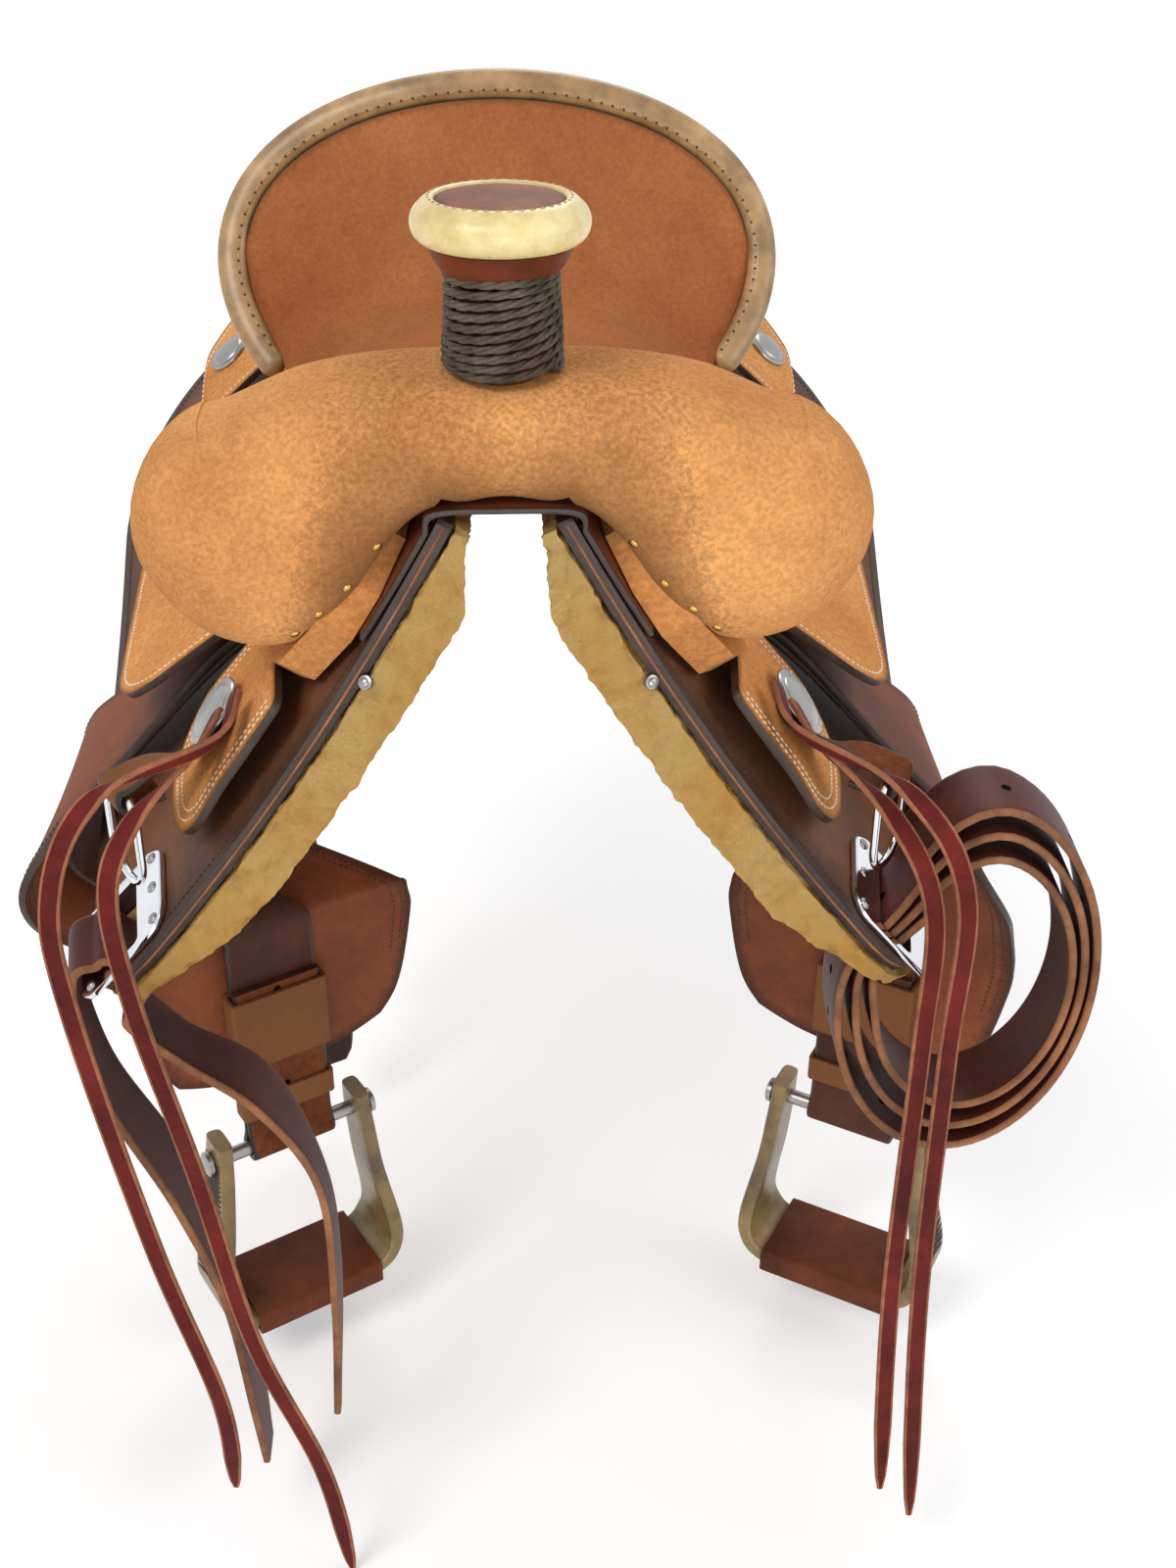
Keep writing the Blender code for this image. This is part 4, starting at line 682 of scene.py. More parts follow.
GLOW_NEAR = (0.9, 0.20)
GLOW_FAR = (3.2, 0.50)


def add_camera():
    """The camera that was fitted to the photograph."""
    yaw, pitch, roll = CAMERA_YAW, CAMERA_PITCH, CAMERA_ROLL
    ahead = math.cos(pitch)
    forward = Vector((math.sin(yaw) * ahead, math.cos(yaw) * ahead, -math.sin(pitch)))
    level = Vector((math.cos(yaw), -math.sin(yaw), 0.0))
    upright = level.cross(forward)
    right = level * math.cos(roll) + upright * math.sin(roll)
    up = upright * math.cos(roll) - level * math.sin(roll)
    camera = bpy.data.objects.new("camera", bpy.data.cameras.new("camera"))
    camera.data.sensor_fit = "VERTICAL"
    camera.data.sensor_height = PICTURE_HEIGHT_MM
    camera.data.lens = LENS_MM
    camera.data.clip_start = NEAREST_SEEN
    turn = Matrix((right, up, -forward)).transposed().to_4x4()
    camera.matrix_world = Matrix.Translation(CAMERA_PLACE) @ turn
    bpy.context.scene.collection.objects.link(camera)
    bpy.context.scene.camera = camera


def add_lamp(name, place, aim, width, watts, tint):
    """A round soft lamp that faces its aim."""
    lamp = bpy.data.objects.new(name, bpy.data.lights.new(name, "AREA"))
    lamp.data.shape = "DISK"
    lamp.data.size = width
    lamp.data.energy = watts
    lamp.data.color = tint
    lamp.location = place
    lamp.rotation_euler = (Vector(aim) - Vector(place)).to_track_quat("-Z", "Y").to_euler()
    bpy.context.scene.collection.objects.link(lamp)


def paint(red, green, blue):
    """A colour read off a screen, from 0 to 255, as the light that it gives."""

    def light(share):
        share /= 255.0
        return share / 12.92 if share <= 0.04045 else ((share + 0.055) / 1.055) ** 2.4

    return (light(red), light(green), light(blue), 1.0)


def seen_ray(tree):
    """1 for a ray that the camera, a mirror or a glass shows, and 0 for one that lights the saddle."""
    light = put(tree, "LightPath").outputs
    mirrored = math_of(tree, "MAXIMUM", light["Is Glossy Ray"], light["Is Transmission Ray"])
    return math_of(tree, "MAXIMUM", light["Is Camera Ray"], mirrored)


def add_studio():
    """A white room: soft lamps, and a floor that looks whiter further out and keeps the shadow."""
    bpy.context.scene.view_settings.view_transform = "Standard"
    world = bpy.data.worlds.new("studio")
    bpy.context.scene.world = world
    world.use_nodes = True
    tree = world.node_tree
    sky = tree.nodes["Background"]
    sky.inputs["Color"].default_value = SKY_TINT
    strength = share_of(tree, seen_ray(tree), 0.0, 1.0, SKY_LIGHT, SKY_SEEN)
    tree.links.new(strength, sky.inputs["Strength"])
    for lamp in LAMPS:
        add_lamp(*lamp)
    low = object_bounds()[0][2] - FLOOR_GAP
    floor = bmesh.new()
    bmesh.ops.create_grid(floor, x_segments=1, y_segments=1, size=FLOOR_REACH)
    bmesh.ops.translate(floor, verts=floor.verts, vec=(0.0, 0.0, low))
    mesh = bpy.data.meshes.new("floor")
    floor.to_mesh(mesh)
    floor.free()
    pale, tree, shader = surface("floor paint", 0.9)
    shader.inputs["Base Color"].default_value = FLOOR_PAINT
    shader.inputs["Specular IOR Level"].default_value = 0.1
    shader.inputs["Emission Color"].default_value = (1.0, 1.0, 1.0, 1.0)
    away = put(tree, "VectorMath", {"operation": "LENGTH"}, Vector=object_place(tree))
    glow = share_of(tree, away.outputs["Value"], GLOW_NEAR[0], GLOW_FAR[0], GLOW_NEAR[1], GLOW_FAR[1])
    tree.links.new(math_of(tree, "MULTIPLY", seen_ray(tree), glow), shader.inputs["Emission Strength"])
    mesh.materials.append(pale)
    made = bpy.data.objects.new("floor", mesh)
    bpy.context.scene.collection.objects.link(made)


# Surfaces


def surface(name, rough, metal=0.0):
    """A new finish, its nodes and its shader."""
    made = bpy.data.materials.new(name)
    made.use_nodes = True
    shader = made.node_tree.nodes["Principled BSDF"]
    shader.inputs["Roughness"].default_value = rough
    shader.inputs["Metallic"].default_value = metal
    return made, made.node_tree, shader


def put(tree, kind, settings=None, **inputs):
    """A node with its settings, and each input linked or set by its name."""
    made = tree.nodes.new("ShaderNode" + kind)
    for key, value in (settings or {}).items():
        setattr(made, key, value)
    for key, value in inputs.items():
        socket = made.inputs[key.replace("_", " ")]
        if isinstance(value, bpy.types.NodeSocket):
            tree.links.new(value, socket)
        else:
            socket.default_value = value
    return made


def math_of(tree, operation, first, second):
    made = put(tree, "Math", {"operation": operation})
    tree.links.new(first, made.inputs[0])
    tree.links.new(second, made.inputs[1])
    return made.outputs["Value"]


def object_place(tree):
    return put(tree, "TexCoord").outputs["Object"]


def share_of(tree, value, low, high, start=0.0, end=1.0):
    """The value from low to high, turned into a share from start to end."""
    made = put(tree, "MapRange", Value=value, From_Min=low, From_Max=high, To_Min=start, To_Max=end)
    return made.outputs["Result"]


def blend_of(tree, fac, first, second, kind="MIX"):
    return put(tree, "MixRGB", {"blend_type": kind}, Fac=fac, Color1=first, Color2=second).outputs["Color"]


def bump_of(tree, shader, height, strength, distance):
    made = put(tree, "Bump", Height=height, Strength=strength, Distance=distance)
    tree.links.new(made.outputs["Normal"], shader.inputs["Normal"])


def leather(name, light, dark, rough, grain=650.0, depth=0.0004, patch=12.0, edge=None, reach=0.006,
            coat=0.0, nap=0.0, shine=0.5):
    """Leather: patches of wear, a grain or a raised nap, and darker towards its cut edge."""
    made, tree, shader = surface(name, rough)
    shader.inputs["Specular IOR Level"].default_value = shine
    place = object_place(tree)
    large = put(tree, "TexNoise", Vector=place, Scale=patch, Detail=6.0, Roughness=0.62)
    fine = put(tree, "TexNoise", Vector=place, Scale=grain, Detail=4.0, Roughness=0.6)
    speck = put(tree, "TexNoise", Vector=place, Scale=grain * 0.22, Detail=3.0, Roughness=0.7)
    wear = share_of(tree, large.outputs["Fac"], 0.33, 0.67)
    colour = blend_of(tree, wear, paint(*dark), paint(*light))
    mottle = share_of(tree, speck.outputs["Fac"], 0.36, 0.64, 0.90 - nap, 1.06 + nap * 0.5)
    grey = put(tree, "CombineColor", Red=mottle, Green=mottle, Blue=mottle)
    colour = blend_of(tree, 1.0, colour, grey.outputs["Color"], "MULTIPLY")
    if edge:
        near = put(tree, "Attribute", {"attribute_name": "rim"}).outputs["Fac"]
        uneven = share_of(tree, speck.outputs["Fac"], 0.3, 0.7, 0.75, 1.3)
        ragged = math_of(tree, "MULTIPLY", near, uneven)
        colour = blend_of(tree, share_of(tree, ragged, 0.0, reach, 0.85, 0.0), colour, paint(*edge))
    tree.links.new(colour, shader.inputs["Base Color"])
    if coat:
        shader.inputs["Coat Weight"].default_value = coat
        shader.inputs["Coat Roughness"].default_value = 0.25
    relief = math_of(tree, "ADD", fine.outputs["Fac"], speck.outputs["Fac"])
    bump_of(tree, shader, relief, 0.6, depth)
    return made


def plain(name, colour, rough, metal=0.0, scratch=0.0, tone=0.15):
    """A hard surface with a little uneven tone and fine scratches."""
    made, tree, shader = surface(name, rough, metal)
    place = object_place(tree)
    large = put(tree, "TexNoise", Vector=place, Scale=60.0, Detail=5.0)
    darker = tuple(part * (1.0 - tone) for part in paint(*colour)[:3]) + (1.0,)
    shade = share_of(tree, large.outputs["Fac"], 0.35, 0.65)
    tree.links.new(blend_of(tree, shade, darker, paint(*colour)), shader.inputs["Base Color"])
    if scratch:
        fine = put(tree, "TexNoise", Vector=place, Scale=900.0, Detail=3.0)
        bump_of(tree, shader, fine.outputs["Fac"], 0.3, scratch)
    return made


def wool(name):
    """Sheepskin: golden wool, paler at the tips of its tufts, with painted shade between them and in the dips
    of its curls.
    """
    made, tree, shader = surface(name, 0.95)
    place = object_place(tree)
    large = put(tree, "TexNoise", Vector=place, Scale=16.0, Detail=5.0, Roughness=0.6)
    curl = put(tree, "TexNoise", Vector=place, Scale=520.0, Detail=6.0, Roughness=0.8, Distortion=3.0)
    tip = put(tree, "Attribute", {"attribute_name": "tuft"}).outputs["Fac"]
    patch = share_of(tree, large.outputs["Fac"], 0.35, 0.65)
    # Painted shade: darker where the tufts sink and where the curls' bump dips.
    deep = share_of(tree, tip, -0.9, 0.1, 0.30, 0.0)
    shade = share_of(tree, curl.outputs["Fac"], 0.38, 0.6, 0.25, 0.0)
    colour = blend_of(tree, patch, paint(254, 194, 102), paint(255, 216, 138))
    colour = blend_of(tree, deep, colour, paint(204, 130, 58))
    colour = blend_of(tree, shade, colour, paint(228, 156, 74))
    tree.links.new(colour, shader.inputs["Base Color"])
    shader.inputs["Specular IOR Level"].default_value = 0.05
    bump_of(tree, shader, curl.outputs["Fac"], 1.0, 0.004)
    return made


def timber(name):
    """Bare wood with its rings in bands."""
    made, tree, shader = surface(name, 0.6)
    place = object_place(tree)
    rings = put(tree, "TexWave", {"wave_type": "BANDS", "bands_direction": "X"}, Vector=place, Scale=60.0,
                Distortion=6.0, Detail=3.0)
    colour = blend_of(tree, rings.outputs["Fac"], paint(164, 122, 78), paint(196, 156, 108))
    tree.links.new(colour, shader.inputs["Base Color"])
    bump_of(tree, shader, rings.outputs["Fac"], 0.2, 0.0004)
    return made


ROUGHOUT = leather("roughout leather", (232, 164, 98), (206, 136, 74), 0.95, 1500.0, 0.0007, 9.0, (120, 78,
                   46),
                   0.004, nap=0.12, shine=0.1)
# The swell's edge colour reaches 5 cm in from the gullet's cut edge: painted shade under the swell's bulge.
COVER = leather("swell leather", (228, 162, 98), (192, 128, 74), 0.95, 1900.0, 0.0009, 11.0, (112, 76, 46),
                0.050,
                nap=0.10, shine=0.1)
BAR_HIDE = leather("bar leather", (222, 154, 90), (190, 124, 68), 0.95, 1500.0, 0.0007, 9.0, nap=0.12,
                   shine=0.1)
SUEDE = leather("seat suede", (178, 112, 68), (148, 84, 48), 0.95, 1600.0, 0.0005, 8.0, (120, 74, 44), 0.004,
                nap=0.05, shine=0.12)
TAN = leather("tan leather", (216, 146, 82), (182, 114, 58), 0.7, 900.0, 0.0004, 16.0, (96, 60, 34), 0.003,
              shine=0.2)
TREAD = leather("tread leather", (110, 56, 31), (72, 35, 19), 0.6, 700.0, 0.0003, 14.0, shine=0.15)
GULLET = leather("gullet leather", (134, 66, 38), (96, 44, 26), 0.5, 700.0, 0.0003, 14.0, (50, 34, 26), 0.004)
BROWN = leather("skirt leather", (132, 80, 47), (90, 54, 32), 0.6, 600.0, 0.0004, 10.0, (42, 31, 25),
                0.032, shine=0.35)
EDGE = leather("dark cut edge", (66, 48, 36), (38, 28, 22), 0.45, 400.0, 0.0005, 20.0, nap=0.1, shine=0.4)
FENDER = leather("fender leather", (140, 74, 40), (92, 46, 25), 0.7, 700.0, 0.0004, 8.0, (52, 30, 20),
                 0.009, shine=0.3)
UNDER = leather("leather's flesh side", (128, 72, 42), (88, 48, 28), 0.95, 900.0, 0.0006, 12.0, nap=0.1,
                shine=0.1)
DARK = leather("strap leather", (88, 50, 36), (56, 30, 22), 0.55, 700.0, 0.0003, 16.0, shine=0.2)
LATIGO = leather("latigo leather", (84, 36, 28), (50, 22, 18), 0.5, 600.0, 0.0003, 14.0, shine=0.2)
LATIGO_EDGE = leather("latigo's cut edge", (156, 102, 62), (104, 64, 38), 0.8, 500.0, 0.0004, 30.0, nap=0.1)
BLACK = leather("billet leather", (56, 36, 29), (34, 21, 17), 0.5, 600.0, 0.0003, 14.0, shine=0.2)
STRING = leather("string leather", (108, 34, 27), (70, 21, 17), 0.65, 900.0, 0.0003, 20.0, nap=0.02,
                 shine=0.12)
STRING_EDGE = leather("string's cut edge", (158, 96, 62), (112, 64, 40), 0.8, 500.0, 0.0003, 40.0, nap=0.1)
RAWHIDE = leather("rawhide binding", (188, 150, 100), (126, 94, 56), 0.4, 500.0, 0.0003, 26.0, coat=0.25)
PALE_HIDE = leather("horn's rawhide", (236, 218, 158), (196, 168, 98), 0.4, 500.0, 0.0002, 22.0, coat=0.4)
CAP = leather("horn cap leather", (140, 84, 64), (106, 58, 42), 0.55, 500.0, 0.0002, 30.0, shine=0.15)
CONE = leather("horn cone leather", (110, 50, 25), (72, 31, 15), 0.5, 500.0, 0.0002, 30.0, shine=0.12)
OLIVE = leather("stirrup rawhide", (150, 124, 70), (84, 68, 36), 0.4, 500.0, 0.0003, 18.0, coat=0.3)
THREAD = leather("pale thread", (250, 240, 218), (232, 214, 180), 0.7, 900.0, 0.0002, 60.0)
DARK_THREAD = leather("dark thread", (64, 48, 38), (40, 30, 24), 0.6, 900.0, 0.0002, 60.0)
LACE = leather("binding's lacing", (206, 170, 112), (150, 112, 66), 0.6, 900.0, 0.0002, 60.0)
ROPE = leather("horn wrap cord", (104, 94, 80), (58, 50, 42), 0.8, 1800.0, 0.0003, 60.0, nap=0.12, shine=0.2)
WOOL = wool("sheepskin wool")
WOOD = timber("tree wood")
STEEL = plain("brushed steel", (168, 166, 162), 0.34, 1.0, 0.00004)
CHROME = plain("chrome", (226, 228, 232), 0.10, 1.0, 0.00001, 0.06)
# Painted shade: near-black discs laid on a strap's faces where its punched holes are.
HOLE_SHADE = leather("painted shade in punched hole", (20, 14, 12), (12, 9, 8), 0.95, shine=0.05)
BRASS = plain("brass tack", (206, 166, 88), 0.3, 1.0, 0.00002)


# Shapes


def grid(rows, columns):
    """A flat grid whose x and y both run from 0 to 1."""
    form = bmesh.new()
    bmesh.ops.create_grid(form, x_segments=rows, y_segments=columns, size=0.5)
    bmesh.ops.translate(form, verts=form.verts, vec=(0.5, 0.5, 0.0))
    return form


def slab(spot, rows, columns, edge=0.0011, steps=2):
    """A closed leather sheet laid by spot(s, t, face). Finishes: 0 above, 1 at the edge, 2 below."""
    form = grid(rows, columns)
    made = bmesh.ops.extrude_face_region(form, geom=form.faces[:])
    outer = {item for item in made["geom"] if isinstance(item, bmesh.types.BMVert)}
    for face in form.faces:
        above = sum(vert in outer for vert in face.verts)
        face.material_index = 0 if above == len(face.verts) else 2 if above == 0 else 1
    for vert in form.verts:
        vert.co = spot(vert.co.x, vert.co.y, 1 if vert in outer else 0)
    bmesh.ops.recalc_face_normals(form, faces=form.faces)
    if edge:
        rims = [e for e in form.edges if len({face.material_index for face in e.link_faces}) == 2]
        bmesh.ops.bevel(form, geom=rims, offset=edge, offset_type="OFFSET", segments=steps, profile=0.5,
                        affect="EDGES", clamp_overlap=True, material=1)
    mark_rim(form)
    return form


def mark_rim(form):
    """Each point's distance from the cut edge, which its finish darkens towards."""
    layer = form.verts.layers.float.get("rim") or form.verts.layers.float.new("rim")
    border = {vert for face in form.faces if face.material_index == 1 for vert in face.verts}
    if not border:
        return
    tree = kdtree.KDTree(len(border))
    for place, vert in enumerate(border):
        tree.insert(vert.co, place)
    tree.balance()
    for vert in form.verts:
        vert[layer] = tree.find(vert.co)[2]


def tube(spot, along, around, finish=None):
    """A closed tube: spot(s, t) runs along s and once around t, and its two ends are filled."""
    form = grid(along, around)
    if finish:
        for face in form.faces:
            middle = face.calc_center_median()
            face.material_index = finish(middle.x, middle.y)
    for vert in form.verts:
        vert.co = spot(vert.co.x, (vert.co.y + 1e-7) % 1.0)
    bmesh.ops.remove_doubles(form, verts=form.verts, dist=1e-6)
    bmesh.ops.holes_fill(form, edges=[item for item in form.edges if item.is_boundary])
    bmesh.ops.recalc_face_normals(form, faces=form.faces)
    return form


EDGE_TURNS = (35, 65, 90, 115, 145)
SQUARER_EDGE = 0.7


def strap_section(flat, full):
    """Steps round a strap's section as (share of its width, reach past it, height): over the top in
    flat parts, round one edge, back below and round the other. Full under 1 squares the edges."""
    steps = []
    for way in (1.0, -1.0):
        steps += [(way * (1.0 - 2.0 * i / flat), 0.0, way) for i in range(flat + 1)]
        for turn in EDGE_TURNS:
            a = math.radians(turn)
            high = math.copysign(abs(math.cos(a)) ** full, math.cos(a))
            steps.append((-way, -way * math.sin(a) ** full, way * high))
    return steps


def strap_finish(flat, count):
    """Which finish a face has at t round a section of this many steps."""
    edge = len(EDGE_TURNS) + 1

    def finish(_, t):
        place = t * count
        return 0 if place < flat else 1 if place < flat + edge else 2 if place < 2 * flat + edge else 1

    return finish


def strap(points, across, widths, thick, along, square=True, flat=4, tip=0.0):
    """A strap with rounded edges. Finishes: 0 above, 1 at its edges, 2 below."""
    section = strap_section(flat, SQUARER_EDGE)
    count = len(section)

    def spot(s, t):
        here = curve_at(points, s)
        ahead = curve_at(points, s + 0.25 / along) - curve_at(points, s - 0.25 / along)
        side = curve_at(across, s)
        if square:
            side = side - ahead * (side.dot(ahead) / ahead.length_squared)
        side = side.normalized()
        up = side.cross(ahead).normalized()
        half = thick * 0.5
        share, out, high = section[round(t * count) % count]
        wide = curve_at(widths, s) * 0.5
        if tip:
            left = min(s, 1.0 - s) if tip < 0 else 1.0 - s
            wide *= min(1.0, 0.35 + 0.65 * math.sqrt(min(left * along / abs(tip), 1.0)))
        return here + side * (share * (wide - half) + out * half) + up * (half * high)

    return tube(spot, along, count, strap_finish(flat, count))


def turned(profile, steps):
    """A round piece: the profile's (radius, height) points spun about Z."""
    form = bmesh.new()
    verts = [form.verts.new((radius, 0.0, height)) for radius, height in profile]
    edges = [form.edges.new(pair) for pair in zip(verts, verts[1:])]
    bmesh.ops.spin(form, geom=verts + edges, cent=(0, 0, 0), axis=(0, 0, 1), angle=math.tau, steps=steps,
                   use_merge=True)
    bmesh.ops.remove_doubles(form, verts=form.verts, dist=1e-6)
    bmesh.ops.recalc_face_normals(form, faces=form.faces)
    return form


def rod(points, radius, sides=8, closed=False):
    """A round cord or wire through the points, its sections turned as little as may be."""
    count = len(points)
    frames = []
    side = None
    for i, point in enumerate(points):
        after = points[(i + 1) % count] if closed or i + 1 < count else point
        before = points[i - 1] if closed or i > 0 else point
        ahead = (after - before).normalized()
        if side is None:
            side = ahead.orthogonal()
        side = (side - ahead * side.dot(ahead)).normalized()
        frames.append((point, side, ahead.cross(side)))
    if closed:
        last = frames[-1][1]
        twist = math.atan2(frames[0][2].dot(last), frames[0][1].dot(last))
    else:
        twist = 0.0

    def spot(s, t):
        place = round(s * (count if closed else count - 1))
        point, right, up = frames[place % count]
        angle = math.tau * t - twist * s
        return point + (right * math.cos(angle) + up * math.sin(angle)) * radius

    return tube(spot, count if closed else count - 1, sides)


def ball(form, place, radius, squash=(1.0, 1.0, 1.0), turn=None, detail=1):
    """A ball added to the form, squashed along its own axes and turned."""
    matrix = Matrix.Translation(place) @ (turn.to_4x4() if turn else Matrix())
    matrix = matrix @ Matrix.Diagonal((*squash, 1.0))
    bmesh.ops.create_icosphere(form, subdivisions=detail, radius=radius, matrix=matrix)


def join(*forms):
    """One mesh made of several."""
    whole = bmesh.new()
    for form in forms:
        mesh = bpy.data.meshes.new("joined")
        form.to_mesh(mesh)
        form.free()
        whole.from_mesh(mesh)
        bpy.data.meshes.remove(mesh)
    return whole


def set_finish(form, index):
    """Gives every face the same finish."""
    for face in form.faces:
        face.material_index = index
    return form


def carved(form, *tools):
    """The form with each tool cut out of it. The three stand-in finishes keep the faces' own."""
    shapes = []
    finishes = [bpy.data.materials.new(f"place {number}") for number in range(3)]
    for item in (form, *tools):
        mesh = bpy.data.meshes.new("shape")
        item.to_mesh(mesh)
        item.free()
        for finish in finishes:
            mesh.materials.append(finish)
        shape = bpy.data.objects.new("shape", mesh)
        bpy.context.scene.collection.objects.link(shape)
        shapes.append(shape)
    for tool in shapes[1:]:
        cut = shapes[0].modifiers.new("cut", "BOOLEAN")
        cut.operation = "DIFFERENCE"
        cut.solver = "EXACT"
        cut.object = tool
    bpy.context.view_layer.update()
    whole = bmesh.new()
    whole.from_object(shapes[0], bpy.context.evaluated_depsgraph_get())
    for shape in shapes:
        mesh = shape.data
        bpy.data.objects.remove(shape)
        bpy.data.meshes.remove(mesh)
    for finish in finishes:
        bpy.data.materials.remove(finish)
    return whole


def piece(name, form, finishes, body, slot, stands_for=(), sharp=40.0, moved=True):
    """The finished piece, carried by its body and standing for the frame's plain solids."""
    if moved:
        bmesh.ops.translate(form, verts=form.verts, vec=SWELL_PLACE)
    mesh = bpy.data.meshes.new(name)
    form.to_mesh(mesh)
    form.free()
    for item in finishes:
        mesh.materials.append(item)
    mesh.shade_smooth()
    mesh.set_sharp_from_angle(angle=math.radians(sharp))
    made = bpy.data.objects.new(name, mesh)
    bpy.context.scene.collection.objects.link(made)
    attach(made, body)
    if stands_for:
        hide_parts(*stands_for)
    return made


def stitches(line, pitch=0.0040, long=0.0030, wide=0.0007, lift=0.0001):
    """A row of thread stitches: line holds (place, way out) pairs close together."""
    form = bmesh.new()
    spent = 0.0
    target = pitch / 2
    for (here, out), (there, _) in zip(line, line[1:]):
        run = there - here
        length = run.length
        while spent + length >= target and length > 0:
            place = here + run * ((target - spent) / length)
            ahead = run.normalized()
            up = (out - ahead * out.dot(ahead)).normalized()
            turn = Matrix((ahead, up.cross(ahead), up)).transposed()
            ball(form, place + up * lift, 1.0, (long / 2, wide, wide * 0.8), turn)
            target += pitch
        spent += length
    return form


def shifted(line, start):
    """The line without its first stretch of this length."""
    spent = 0.0
    for i, ((here, _), (there, _)) in enumerate(zip(line, line[1:])):
        if spent >= start:
            return line[i:]
        spent += (there - here).length
    return line


def studs(spots, radius, high=0.5):
    """Rivet heads, or dark discs of painted shade where punched holes are, at (place, way out) spots."""
    form = bmesh.new()
    for place, out in spots:
        ball(form, place, radius, (1.0, 1.0, high), out.to_track_quat("Z", "Y").to_matrix(), 2)
    return form


def strap_spots(points, across, lift, shares):
    """(place, way out) pairs on a strap's face; a negative lift is its other face."""
    spots = []
    for s in shares:
        ahead = curve_at(points, s + 0.004) - curve_at(points, s - 0.004)
        up = curve_at(across, s).cross(ahead).normalized() * math.copysign(1.0, lift)
        spots.append((curve_at(points, s) + up * abs(lift), up))
    return spots


def on_back(side, lift, spots):
    """(place, way out) pairs along a line of (y, down) spots on the back."""
    line = []
    for y, down in spots:
        out = back_normal(y, down)
        high = lift(y, down) if callable(lift) else lift
        line.append((back(side, y, down, high), Vector((out.x * side, out.y, out.z))))
    return line


def around_outline(outline, inset, rows):
    """The outline's front, bottom and rear edges as (y, down) spots, drawn in by the inset."""
    spots = [outline(0.0, t / rows) for t in range(rows + 1)]
    spots += [outline(s / (rows * 3), 1.0) for s in range(rows * 3 + 1)]
    spots += [outline(1.0, 1.0 - t / rows) for t in range(rows + 1)]
    drawn = []
    for i, (y, down) in enumerate(spots):
        before = spots[max(i - 1, 0)]
        after = spots[min(i + 1, len(spots) - 1)]
        run = Vector((after[0] - before[0], after[1] - before[1]))
        if run.length < 1e-9:
            continue
        run.normalize()
        drawn.append((y + run.y * inset, down - run.x * inset))
    return drawn


# Strings: the cords come first


def add_strings():
    """The six thongs, each a cord from its concho or jockey to its bare tip."""
    for name, route in STRING_ROUTES.items():
        points = [Vector(point) for point in route]
        side = 1.0 if points[0].x > 0 else -1.0
        flat = Vector((side, 0.1, 0.0))
        across = [flat] * len(points)
        if name.startswith("string"):
            down = Vector((0.60 * side, 0.0, -0.80))
            across[:3] = [down, down, mix(down, flat, 0.6)]
        else:
            run = Vector((0.10 * side, 0.98, 0.18))
            across[:2] = [run, run]
        form = strap(points, across, [STRING_WIDTH, STRING_WIDTH], STRING_THICK, 90, flat=3, tip=5)
        made = piece(f"thong_{name}", form, (STRING, STRING_EDGE, STRING), "saddle", "burgundy", (name,))
        path = [curve_at(points, i / 90) + SWELL_PLACE for i in range(91)]
        length = sum((b - a).length for a, b in zip(path, path[1:]))
        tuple(path[0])


# Skirts, sheepskin and rigging plates


def slot_tool(side, margin):
    """A block that cuts the rigging's slot, this much wider than the slot all round."""
    outline = panel(SLOT_FRONT - margin, SLOT_REAR + margin, (SLOT_TOP - margin,) * 2,
                    (SLOT_DROP + margin,) * 2, (0.003,) * 4)
    past = 0.030
    deep = SKIRT_THICK + FLEECE_THICK + past
    return slab(laid(side, outline, -deep, deep + past), 16, 6, 0.0)


def add_skirts():
    """Each side's skirt with its thread and edge seam, its wool and its rigging plate."""
    for side, word in SIDES.items():
        outline = skirt_outline(0.0)
        spot = laid(side, outline, -SKIRT_THICK, SKIRT_THICK)
        form = carved(slab(spot, 120, 60, 0.0022, 3), slot_tool(side, SLOT_MARGIN))
        piece(f"{word}_skirt_leather", form, (BROWN, EDGE, UNDER), "saddle", "brown", (f"skirt_{word}",))
        line = on_back(side, 0.0001, around_outline(outline, 0.0075, 40))
        piece(f"{word}_skirt_stitching", stitches(line), (DARK_THREAD,), "saddle", "brown")
        spots = around_outline(outline, -0.0001, 50)
        seam = [point for point, _ in on_back(side, -SKIRT_THICK * 0.48, spots)]
        piece(f"{word}_skirt_seam", rod(seam, 0.0007, 6), (LATIGO_EDGE,), "saddle", "brown")
        add_fleece(side, word)
        add_plate(side, word)


def add_plate(side, word):
    """The rigging plate with its slot and its five rivets."""
    outline = panel(PLATE_FRONT, PLATE_REAR, (PLATE_TOP,) * 2, (PLATE_DROP,) * 2,
                    (0.014, 0.010, 0.014, 0.010))
    spot = laid(side, outline, LAYER_GAP + GAP, PLATE_THICK)
    form = carved(slab(spot, 40, 30, 0.0008), slot_tool(side, 0.0))
    piece(f"{word}_rigging_iron", form, (CHROME, CHROME, CHROME), "saddle", "chrome",
          (f"rigging_plate_{word}",))
    inset = 0.008
    ends = (PLATE_FRONT + inset, PLATE_REAR - inset)
    spots = [(y, down) for y in ends for down in (PLATE_TOP + inset, PLATE_DROP - inset)]
    spots.append(((PLATE_FRONT + PLATE_REAR) / 2, PLATE_TOP + inset))
    heads = on_back(side, LAYER_GAP + GAP + PLATE_THICK, spots)
    piece(f"{word}_rigging_rivets", studs(heads, 0.0034), (STEEL,), "saddle", "steel")


FLEECE_SCREW = Vector((0.072, -0.034, -0.082))


